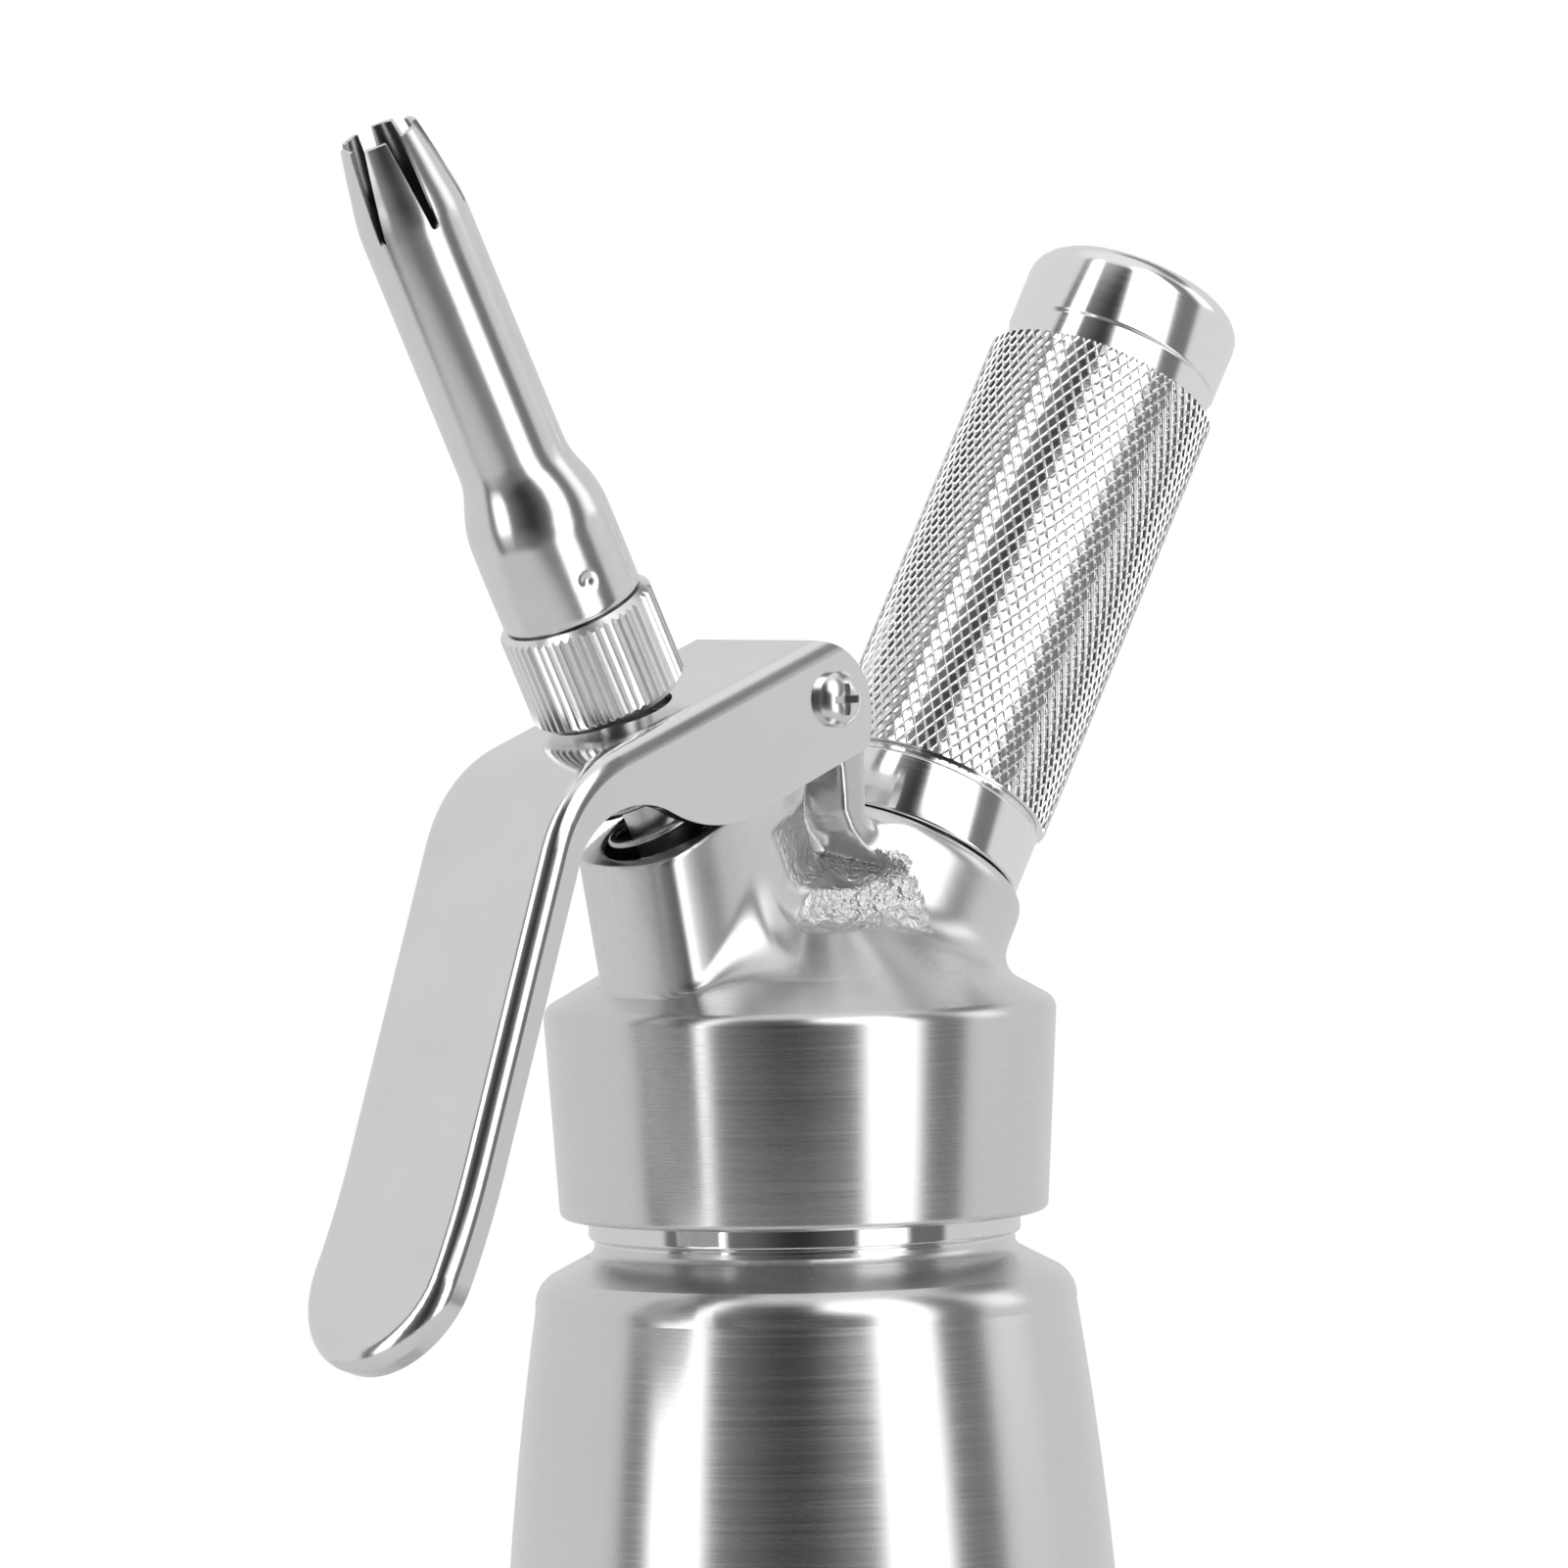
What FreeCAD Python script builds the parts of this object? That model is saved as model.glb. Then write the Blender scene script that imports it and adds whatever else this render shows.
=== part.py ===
import FreeCAD, Part

import math
import os

import Sketcher
from FreeCAD import Placement, Rotation, Vector

# A whipped cream dispenser: a steel bottle, a screwed-on cast head, a squeeze lever that
# pushes a hollow valve stem, a decorating nozzle and a knurled holder for a gas charger.
# Millimetres, +Z up. The origin is the centre of the face the bottle stands on.
# The lever points towards -X and the charger holder towards +X; Y is across the head.

doc = FreeCAD.newDocument("CreamDispenser")

# ---------------------------------------------------------------- driving dimensions
# "rise" is a height above the top corner of the skirt, the head's own zero.
# "along" is a distance up the slanted axis of the valve or of the charger.
SIZES = {
    # bottle
    "bottle_radius": 38.2,
    "bottle_wall": 1.2,
    "bottle_straight": 68.0,
    "foot_round": 2.5,
    "foot_recess": 1.6,
    "foot_width": 4.4,
    "shoulder_radius": 32.7,
    "shoulder_height": 138.9,
    "shoulder_cone_radius": 31.0,
    "shoulder_rise": 4.0,
    "shoulder_round": 4.4,
    "neck_radius": 25.4,
    "shoulder_cone_rise": 3.5,
    "neck_foot_rise": 0.6,
    # threaded neck ring
    "ring_height": 23.3,
    "ring_bore": 22.8,
    "bead_radius": 26.1,
    "bead_lift": 0.5,
    "bead_height": 3.0,
    "thread_root": 25.0,
    "thread_crest": 26.1,
    "thread_pitch": 3.5,
    "thread_count": 4,
    "thread_lead_in": 4.0,
    "thread_gap": 0.35,
    # head
    "skirt_gap": 3.0,
    "skirt_height": 25.3,
    "skirt_radius": 31.0,
    "skirt_foot_radius": 29.45,
    "skirt_corner": 2.0,
    "skirt_edge": 1.0,
    "ceiling_depth": 2.5,
    "cone_top_radius": 14.5,
    "cone_rise": 9.4,
    "core_radius": 9.0,
    "core_rise": 12.4,
    "gasket_width": 4.4,
    # valve tower
    "valve_tilt": 27.0,
    "valve_offset": 9.92,
    "tower_top": 25.0,
    "tower_front": 9.6,
    "tower_back": 8.5,
    "tower_foot": 28.2,
    "tower_half_width": 8.8,
    "tower_corner": 3.0,
    "spring_well_radius": 7.7,
    "spring_well_floor": 14.0,
    "valve_seat": 1.5,
    "valve_well_radius": 7.2,
    # valve
    "stem_radius": 4.0,
    "stem_bore": 2.0,
    "stem_top": 54.0,
    "stem_port_radius": 0.9,
    "collar_radius": 6.9,
    "collar_top": 37.2,
    "collar_height": 1.5,
    "running_gap": 0.05,
    "small_gap": 0.3,
    "seat_gap": 0.1,
    "disc_radius": 6.2,
    "disc_height": 1.5,
    "tail_radius": 1.9,
    "valve_nut_radius": 4.6,
    "valve_nut_height": 2.8,
    "o_ring_wire": 0.48,
    "o_ring_along": 9.0,
    "spring_wire": 0.55,
    "spring_radius": 6.3,
    "spring_pitch": 4.5,
    "spring_sides": 12,
    # nozzle and its adaptor
    "adaptor_along": 42.2,
    "adaptor_radius": 9.5,
    "adaptor_height": 12.9,
    "adaptor_chamfer": 1.1,
    "flute_count": 52,
    "flute_depth": 0.42,
    "stub_radius": 6.6,
    "stub_height": 6.9,
    "insert_height": 8.4,
    "insert_lip": 1.0,
    "crimp_along": 60.0,
    "crimp_depth": 0.75,
    "seal_height": 1.0,
    "seal_bore": 3.5,
    "nozzle_wall": 0.7,
    "nozzle_bulb_radius": 8.6,
    "nozzle_bulb_along": 66.3,
    "nozzle_flare_radius": 7.55,
    "nozzle_flare_rise": 4.9,
    "nozzle_neck_rise": 2.9,
    "nozzle_tube_radius": 6.62,
    "nozzle_tube_length": 31.5,
    "nozzle_taper_length": 12.0,
    "nozzle_tip_radius": 4.75,
    "petal_count": 6,
    "petal_phase": 11.0,
    "slot_length": 11.6,
    "slot_foot_width": 0.95,
    "slot_mouth_width": 1.9,
    # lever and pivot
    "pivot_offset": 4.09,
    "pivot_rise": 36.97,
    "pivot_radius": 3.0,
    "lug_radius": 4.9,
    "lug_half_width": 9.5,
    "lever_width": 24.2,
    "lever_wall": 2.2,
    "lever_slope": 19.8,
    "strap_above_pivot": 7.45,
    "strap_end": 0.9,
    "cheek_below_pivot": 7.8,
    "cheek_radius": 5.5,
    "lever_bend": 50.5,
    "lever_bend_radius": 18.0,
    "lever_reach": 42.5,
    "handle_length": 73.0,
    "handle_depth": 4.7,
    "handle_curl": 3.2,
    "handle_curl_length": 26.0,
    "lever_edge": 2.4,
    "lever_end_round": 12.0,
    "stem_hole_radius": 6.3,
    "strap_corner": 9.0,
    "belly_radius": 17.0,
    "belly_reach": 28.0,
    "arch_radius": 11.0,
    "arch_reach": 13.6,
    "arch_rise": 4.9,
    "arch_foot": 8.0,
    "cheek_toe": 2.9,
    "cheek_toe_rise": 0.5,
    "cheek_front_drop": 0.35,
    "cheek_front_round": 14.0,
    "screw_head_radius": 3.35,
    "screw_head_height": 2.1,
    "screw_radius": 1.5,
    "screw_length": 15.0,
    "recess_width": 0.9,
    "recess_span": 3.8,
    "recess_depth": 1.4,
    "sleeve_head_radius": 4.2,
    "sleeve_head_height": 1.4,
    # charger boss, nipple and holder
    "charger_tilt": 31.27,
    "charger_offset": 8.06,
    "boss_radius": 15.3,
    "boss_top": 19.6,
    "boss_edge_width": 1.45,
    "boss_edge_height": 3.6,
    "socket_radius": 11.0,
    "socket_floor": 9.0,
    "gas_passage": 2.5,
    "check_well_radius": 5.5,
    "check_seat": 1.2,
    "check_height": 1.5,
    "check_stalk": 1.9,
    "nipple_top": 26.5,
    "nipple_thread": 11.3,
    "charger_seal_along": 19.2,
    "charger_seal_height": 2.0,
    "charger_seal_bore": 2.2,
    "pin_base_radius": 3.55,
    "pin_base_along": 12.0,
    "pin_base_height": 3.5,
    "pin_radius": 0.9,
    "pin_bore": 0.45,
    "pin_length": 11.0,
    "seam_gap": 0.4,
    "holder_collar_radius": 13.85,
    "holder_core_radius": 12.4,
    "holder_bore": 9.7,
    "holder_spigot_radius": 11.6,
    "holder_spigot": 4.6,
    "holder_socket_depth": 9.3,
    "collar_groove": 0.45,
    "grip_radius": 14.47,
    "grip_foot": 28.6,
    "grip_length": 57.1,
    "grip_chamfer": 0.4,
    "cap_radius": 13.55,
    "cap_neck_radius": 13.2,
    "cap_neck_height": 3.6,
    "cap_length": 13.7,
    "cap_round": 3.0,
    "cap_crown": 5.0,
    "charger_radius": 9.3,
    "charger_length": 65.0,
    "charger_wall": 1.9,
    "charger_neck_radius": 4.4,
    "charger_neck_length": 6.5,
    "charger_shoulder": 6.0,
    "charger_dome": 7.0,
    "charger_hole": 1.3,
}

sheet = doc.addObject("Spreadsheet::Sheet", "Sizes")
for row, (alias, number) in enumerate(SIZES.items(), start=1):
    sheet.set(f"A{row}", alias)
    sheet.set(f"B{row}", str(number))
    sheet.setAlias(f"B{row}", alias)
doc.recompute()


# ---------------------------------------------------------------- sizes with a formula
class Dim:
    """A number together with the sheet formula that it comes from."""

    def __init__(self, value, text):
        self.value = float(value)
        self.text = text

    def __add__(self, other):
        other = dim(other)
        return Dim(self.value + other.value, f"({self.text} + {other.text})")

    def __sub__(self, other):
        other = dim(other)
        return Dim(self.value - other.value, f"({self.text} - {other.text})")

    def __mul__(self, other):
        other = dim(other)
        return Dim(self.value * other.value, f"({self.text} * {other.text})")

    def __truediv__(self, other):
        other = dim(other)
        return Dim(self.value / other.value, f"({self.text} / {other.text})")

    def __neg__(self):
        return Dim(-self.value, f"(0 - {self.text})")

    def __float__(self):
        return self.value

    __radd__ = __add__

    def __rmul__(self, other):
        return dim(other) * self

    def __rsub__(self, other):
        return dim(other) - self

    @property
    def fixed(self):
        return "Sizes." not in self.text


def dim(number):
    return number if isinstance(number, Dim) else Dim(number, f"({float(number)})")


def size(alias):
    return Dim(sheet.get(alias), f"Sizes.{alias}")


def count(alias):
    return int(sheet.get(alias))


def sine(angle):
    return Dim(math.sin(math.radians(angle.value)), f"sin({angle.text} * 1 deg)")


def cosine(angle):
    return Dim(math.cos(math.radians(angle.value)), f"cos({angle.text} * 1 deg)")


def tangent(angle):
    return Dim(math.tan(math.radians(angle.value)), f"tan({angle.text} * 1 deg)")


def bend(run, rise):
    """Radius of the arc that starts straight along its run and ends aside by its rise."""
    return (run * run + rise * rise) / (2 * rise)


def bind(thing, path, amount):
    """Tie a property to the amount's formula, if it has one, and return the plain number."""
    amount = dim(amount)
    if not amount.fixed:
        thing.setExpression(path, amount.text)
    return amount.value


# ---------------------------------------------------------------- sketches and features
def arc_between(start, end, radius):
    """An arc of a circle; a positive radius bows to the right of start-to-end."""
    chord = end - start
    side = 1 if radius > 0 else -1
    left = Vector(-chord.y, chord.x, 0).normalize()
    rise = math.sqrt(max(radius * radius - chord.Length ** 2 / 4, 0.0))
    centre = (start + end) * 0.5 + left * rise * side
    first, last = (start, end) if radius > 0 else (end, start)
    begin = math.atan2(first.y - centre.y, first.x - centre.x)
    finish = math.atan2(last.y - centre.y, last.x - centre.x)
    if finish < begin:
        finish += 2 * math.pi
    circle = Part.Circle(centre, Vector(0, 0, 1), abs(radius))
    return Part.ArcOfCircle(circle, begin, finish)


def draw(sketch, points):
    """Close an outline through (x, y) points; (x, y, radius) is reached by an arc."""
    total = len(points)
    heads, tails = [], []
    for index in range(total):
        here, after = points[index], points[(index + 1) % total]
        start = Vector(float(dim(here[0])), float(dim(here[1])), 0)
        end = Vector(float(dim(after[0])), float(dim(after[1])), 0)
        radius = float(dim(after[2])) if len(after) == 3 else 0.0
        edge = arc_between(start, end, radius) if radius else Part.LineSegment(start, end)
        sketch.addGeometry(edge)
        heads.append(2 if radius < 0 else 1)
        tails.append(1 if radius < 0 else 2)
    for index in range(total):
        after = (index + 1) % total
        joint = Sketcher.Constraint("Coincident", index, tails[index], after, heads[after])
        sketch.addConstraint(joint)
    for index in range(total):
        pin_down(sketch, index, heads[index], points[index])
        after = points[(index + 1) % total]
        if len(after) == 3:
            radius = dim(after[2])
            radius = -radius if radius.value < 0 else radius
            number = sketch.addConstraint(Sketcher.Constraint("Radius", index, radius.value))
            bind(sketch, f"Constraints[{number}]", radius)


def pin_down(sketch, edge, vertex, point):
    """Hold one end of an edge by its distances from the sketch's origin."""
    for kind, axis, amount in (("DistanceX", -2, dim(point[0])), ("DistanceY", -1, dim(point[1]))):
        if amount.fixed and amount.value == 0:
            sketch.addConstraint(Sketcher.Constraint("PointOnObject", edge, vertex, axis))
            continue
        number = sketch.addConstraint(Sketcher.Constraint(kind, -1, 1, edge, vertex, amount.value))
        bind(sketch, f"Constraints[{number}]", amount)


def new_body(label):
    body = doc.addObject("PartDesign::Body", label)
    body.Label = label
    return body


def body_sketch(body, role, name):
    sketch = body.newObject("Sketcher::SketchObject", f"{body.Name}_{name}")
    plane = next(item for item in body.Origin.OriginFeatures if item.Role == role)
    sketch.AttachmentSupport = [(plane, "")]
    sketch.MapMode = "FlatFace"
    return sketch


def turned(label, points):
    """A body turned about Z from an outline of (radius, height) points."""
    body = new_body(label)
    sketch = body_sketch(body, "XZ_Plane", "outline")
    draw(sketch, points)
    turn = body.newObject("PartDesign::Revolution", f"{label}_turn")
    turn.Profile = sketch
    turn.ReferenceAxis = (sketch, ["V_Axis"])
    turn.Angle = 360
    doc.recompute()
    return body


def slab(label, points, width):
    """A body padded from an outline in the XZ plane, half its width to each side."""
    body = new_body(label)
    sketch = body_sketch(body, "XZ_Plane", "outline")
    draw(sketch, points)
    pad = body.newObject("PartDesign::Pad", f"{label}_pad")
    pad.Profile = sketch
    pad.SideType = "Symmetric"
    pad.Length = bind(pad, "Length", width)
    doc.recompute()
    return body


def spot(across, up, depth=0.0):
    return Vector(float(dim(across)), float(dim(depth)), float(dim(up)))


def edges_at(shape, spots):
    """Names of the edges that pass through any of the spots."""
    names = []
    for number, edge in enumerate(shape.Edges, start=1):
        reach = min(edge.distToShape(Part.Vertex(place))[0] for place in spots)
        if reach < 0.01:
            names.append(f"Edge{number}")
    return names


def soften(body, radius, spots):
    """Round the edges of a body that pass through the spots."""
    base = body.Tip
    fillet = body.newObject("PartDesign::Fillet", f"{body.Name}_round{len(body.Group)}")
    fillet.Base = (base, edges_at(base.Shape, spots))
    fillet.Radius = bind(fillet, "Radius", radius)
    doc.recompute()
    return body


def rod(name, radius, low, high):
    """A cylinder about its own Z axis, from one height to another."""
    solid = doc.addObject("Part::Cylinder", name)
    solid.Radius = bind(solid, "Radius", radius)
    solid.Height = bind(solid, "Height", dim(high) - dim(low))
    return solid


def cut(label, base, tools):
    """Take the tools away from the base; the result carries the label."""
    tool = tools[0]
    if len(tools) > 1:
        tool = doc.addObject("Part::MultiFuse", f"{label}_tools")
        tool.Shapes = tools
    result = doc.addObject("Part::Cut", label)
    result.Base = base
    result.Tool = tool
    result.Refine = True
    result.Label = label
    doc.recompute()
    return result


def place(thing, across, up, tilt=0, side=1):
    """Stand a piece at (across, 0, up), leaning by its tilt towards +X, or -X for side -1."""
    across, up, tilt = dim(across), dim(up), dim(tilt)
    spin = Rotation(Vector(0, side, 0), tilt.value)
    thing.Placement = Placement(Vector(across.value, 0, up.value), spin)
    bind(thing, "Placement.Rotation.Angle", tilt)
    bind(thing, "Placement.Base.x", across)
    bind(thing, "Placement.Base.z", up)
    return thing


class Lean:
    """A slanted axis of the head: where it starts, how far it leans and to which side."""

    def __init__(self, start, tilt, side):
        self.start = start
        self.tilt = tilt
        self.side = side

    def point(self, along, across=0):
        """(x, rise) of a point beside the axis."""
        along, across = dim(along), dim(across)
        x = self.start + self.side * along * sine(self.tilt) + across * cosine(self.tilt)
        rise = along * cosine(self.tilt) - self.side * across * sine(self.tilt)
        return x, rise

    def stand(self, thing, along=0, lift=0):
        x, rise = self.point(along)
        return place(thing, x, rise + lift, self.tilt, self.side)

    def bore(self, name, radius, low, high):
        return self.stand(rod(name, radius, low, high), low)


shoulder_top = size("shoulder_height") + size("shoulder_rise")
neck_foot = shoulder_top + size("shoulder_cone_rise")
neck_joint = neck_foot + size("neck_foot_rise")
head_rise = neck_joint + size("skirt_gap") + size("skirt_height")
running_gap = size("running_gap")
small_gap = size("small_gap")
pivot_x = -size("pivot_offset")
pivot_z = size("pivot_rise")
valve_axis = Lean(-size("valve_offset"), size("valve_tilt"), -1)
charger_axis = Lean(size("charger_offset"), size("charger_tilt"), 1)


def across_pivot(thing, start, spin):
    """Lay a piece along the pivot's axis: spin 90 points it to -Y, spin -90 to +Y."""
    base = Vector(pivot_x.value, float(dim(start)), pivot_z.value)
    thing.Placement = Placement(base, Rotation(Vector(1, 0, 0), spin))
    bind(thing, "Placement.Base.x", pivot_x)
    bind(thing, "Placement.Base.y", start)
    bind(thing, "Placement.Base.z", pivot_z)
    return thing


def ridges(root, crest, first):
    """Outline points of the rows of thread ridges, from the lowest up."""
    pitch = size("thread_pitch")
    foot, tip = pitch * 0.26, pitch * 0.09
    points = []
    for row in range(count("thread_count")):
        middle = first + pitch * row
        points.append((root, middle - foot))
        points.append((crest, middle - tip))
        points.append((crest, middle + tip))
        points.append((root, middle + foot))
    return points


# ---------------------------------------------------------------- bottle
def make_bottle():
    """Deep-drawn shell: straight, then one long taper, a coned shoulder and a short neck."""
    radius, wall = size("bottle_radius"), size("bottle_wall")
    straight, foot_round = size("bottle_straight"), size("foot_round")
    recess, foot = size("foot_recess"), size("foot_width")
    shoulder, shoulder_z = size("shoulder_radius"), size("shoulder_height")
    cone, cone_z = size("shoulder_cone_radius"), shoulder_top
    neck, foot_z, joint_z = size("neck_radius"), neck_foot, neck_joint
    taper = bend(shoulder_z - straight, radius - shoulder)
    corner = size("shoulder_round")
    foot_radius = radius - foot_round
    return turned("bottle", [
        (0, recess),
        (foot_radius - foot - recess, recess),
        (foot_radius - foot, 0),
        (foot_radius, 0),
        (radius, foot_round, foot_round),
        (radius, straight),
        (shoulder, shoulder_z, taper),
        (cone, cone_z, corner),
        (neck + wall, foot_z - wall),
        (neck, foot_z, -(wall * 1.6)),
        (neck, joint_z),
        (neck - wall, joint_z),
        (neck - wall, foot_z - wall / 2),
        (cone - wall, cone_z - wall),
        (shoulder - wall, shoulder_z - wall / 3, -(corner - wall / 2)),
        (radius - wall, straight, -(taper - wall)),
        (radius - wall, foot_round + wall),
        (foot_radius, recess + wall, -(foot_round * 1.1)),
        (0, recess + wall),
    ])


def neck_thread_start():
    return neck_joint + size("bead_lift") + size("bead_height") + size("thread_lead_in")


def neck_top():
    return neck_joint + size("ring_height")


def make_neck_ring():
    """Turned ring welded on the shell: a polished bead that shows, and the thread above it."""
    low, high = neck_joint, neck_top()
    neck, bead = size("neck_radius"), size("bead_radius")
    root, crest = size("thread_root"), size("thread_crest")
    bead_low = low + size("bead_lift")
    bead_high = bead_low + size("bead_height")
    ease = bead - neck
    outline = [
        (size("ring_bore"), low),
        (neck, low),
        (neck, bead_low - 0.2),
        (bead, bead_low + ease * 0.7, ease),
        (bead, bead_high - 0.6),
        (bead - 0.6, bead_high, 0.6),
        (root, bead_high),
    ]
    outline += ridges(root, crest, neck_thread_start())
    outline += [
        (root, high - 0.8),
        (root - 0.8, high),
        (size("ring_bore"), high),
    ]
    return turned("neck_ring", outline)


# ---------------------------------------------------------------- head casting
def make_head():
    """One casting: skirt, turned cone, valve tower, pivot lug and charger boss."""
    lug = slab("head_lug", lug_outline(), 2 * size("lug_half_width"))
    eye = rod("head_eye", size("lug_radius"), 0, 2 * size("lug_half_width"))
    across_pivot(eye, -size("lug_half_width"), -90)
    solid = doc.addObject("Part::MultiFuse", "head_solid")
    solid.Shapes = [head_blank(), head_tower(), lug, eye, head_boss()]
    solid.Refine = True
    return place(cut("head", solid, head_bores()), 0, head_rise)


def head_blank():
    """The turned part: a skirt that widens upwards and a shallow cone on it."""
    drop, skirt, foot = size("skirt_height"), size("skirt_radius"), size("skirt_foot_radius")
    blank = turned("head_blank", [
        (0, -drop),
        (foot, -drop),
        (skirt, 0),
        (size("cone_top_radius"), size("cone_rise")),
        (size("core_radius"), size("core_rise")),
        (0, size("core_rise")),
    ])
    soften(blank, size("skirt_corner"), [spot(skirt, 0)])
    return soften(blank, size("skirt_edge"), [spot(foot, -drop)])


def head_tower():
    """Valve tower and the web behind it, with a cast pocket in each side."""
    front = valve_axis.point(size("tower_top"), -size("tower_front"))
    back = valve_axis.point(size("tower_top"), size("tower_back"))
    foot = -size("tower_foot")
    x, z = pivot_x, pivot_z
    tower = slab("head_tower", [
        (foot, 0),
        front,
        back,
        (x - 5.5, z - 6.5),
        (x + 7.0, z - 6.5),
        (x + 7.0, z - 14.0),
        (x + 11.3, z - 17.8, 6.0),
        (x + 14.0, z - 27.0),
        (x + 14.0, 0),
    ], 2 * size("tower_half_width"))
    side = size("tower_half_width")
    middle = (foot + front[0]) / 2, front[1] / 2
    soften(tower, size("tower_corner"), [spot(*middle, side), spot(*middle, -side)])
    near = pocket()
    far = doc.addObject("Part::Mirroring", "head_pocket_far")
    far.Source = near
    far.Normal = Vector(0, 1, 0)
    return cut("head_web", tower, [near, far])


def pocket():
    """Wedge-shaped recess between tower and lug: wide at the side face, narrow inside."""
    x, z = pivot_x, pivot_z
    mouth = [
        (x - 9.3, z - 11.0),
        (x - 9.3, z - 16.0),
        (x - 5.8, z - 23.0),
        (x - 3.5, z - 24.9),
        (x + 8.0, z - 24.0),
        (x + 10.0, z - 20.5),
        (x + 8.5, z - 19.1),
        (x + 5.0, z - 16.2),
        (x + 3.3, z - 13.8),
        (x + 3.3, z - 7.0),
    ]
    floor = [
        (x - 0.9, z - 8.0),
        (x + 0.1, z - 15.3),
        (x + 1.6, z - 18.5),
        (x + 2.1, z - 19.2),
        (x + 5.6, z - 19.2),
        (x + 6.6, z - 18.8),
        (x + 6.3, z - 18.0),
        (x + 4.3, z - 16.0),
        (x + 3.3, z - 13.8),
        (x + 3.3, z - 7.0),
    ]
    mouth_y = -(size("tower_half_width") + 0.8)
    floor_y = -(size("tower_half_width") * 0.28)
    wedge = doc.addObject("Part::Loft", "head_pocket_near")
    wedge.Sections = [
        hanging_sketch("head_pocket_mouth", mouth, mouth_y),
        hanging_sketch("head_pocket_floor", floor, floor_y),
    ]
    wedge.Solid = True
    wedge.Ruled = True
    return wedge


def hanging_sketch(name, points, depth):
    """A closed outline in a plane parallel to XZ."""
    sketch = doc.addObject("Sketcher::SketchObject", name)
    sketch.Placement = Placement(Vector(0, depth.value, 0), Rotation(Vector(1, 0, 0), 90))
    bind(sketch, "Placement.Base.y", depth)
    draw(sketch, points)
    return sketch


def lug_outline():
    """The curved arm that carries the pivot, a rib on each side of the casting."""
    x, z = pivot_x, pivot_z
    return [
        (x + 2.9, z - 8.0),
        (x + 3.3, z - 13.6),
        (x + 10.0, z - 20.5, 14.0),
        (x + 11.3, z - 17.9),
        (x + 7.0, z - 13.6, -5.2),
        (x + 7.0, z - 5.0),
        (x + size("lug_radius") * 0.9, z + size("lug_radius") * 0.43),
        (x, z),
        (x - size("lug_radius") * 0.86, z - size("lug_radius") * 0.5),
    ]


def head_boss():
    """Round boss that the charger's nipple is screwed in, with a softened top edge."""
    radius, top = size("boss_radius"), size("boss_top")
    edge, fall = size("boss_edge_width"), size("boss_edge_height")
    boss = turned("head_boss", [
        (0, 0),
        (radius, 0),
        (radius, top - fall),
        (radius - edge, top, bend(fall, edge)),
        (0, top),
    ])
    return charger_axis.stand(boss)


def head_bores():
    """Everything that is bored or threaded in the casting."""
    below, above = size("skirt_height") + 1, size("tower_top") + 12
    pin_bore = rod("head_pivot_bore", size("pivot_radius") + running_gap, 0, size("lever_width"))
    across_pivot(pin_bore, -size("lever_width") / 2, -90)
    return [
        head_thread(below),
        valve_axis.bore("head_guide", size("stem_radius") + running_gap, -14, above),
        valve_axis.bore("head_spring_well", size("spring_well_radius"), size("spring_well_floor"), above),
        valve_axis.bore("head_valve_well", size("valve_well_radius"), -14, size("valve_seat")),
        charger_axis.bore("head_socket", size("socket_radius"), size("socket_floor"), size("boss_top") + 4),
        charger_axis.bore("head_gas_passage", size("gas_passage"), -10, size("socket_floor") + 1),
        charger_axis.bore("head_check_well", size("check_well_radius"), -12, size("check_seat")),
        pin_bore,
    ]


def gasket_seat_radius():
    return size("thread_crest") + size("thread_gap") - 0.6


def head_thread(below):
    """The skirt's bore with its ridges, which run between those of the neck."""
    bore = size("thread_crest") + size("thread_gap")
    minor = size("thread_root") + size("thread_gap") + running_gap
    first = neck_thread_start() + size("thread_pitch") / 2 - head_rise
    top = neck_top() - head_rise
    outline = [(0, -below), (bore + 1.0, -below), (bore + 1.0, 1 - below), (bore, 2 - below)]
    outline += ridges(bore, minor, first)
    outline += [
        (bore, top),
        (gasket_seat_radius(), top),
        (gasket_seat_radius(), -size("ceiling_depth")),
        (0, -size("ceiling_depth")),
    ]
    return turned("head_thread", outline)


def make_head_gasket():
    """Flat silicone ring that the neck ring is drawn up against."""
    low = neck_top() + small_gap
    top = head_rise - size("ceiling_depth")
    outer = gasket_seat_radius() - running_gap
    inner = outer - size("gasket_width")
    return turned("head_gasket", [(inner, low), (outer, low), (outer, top), (inner, top)])


# ---------------------------------------------------------------- valve
def valve_shoulder():
    """Height along the axis of the disc's top face, just under its seat in the head."""
    return size("valve_seat") - size("seat_gap")


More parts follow.
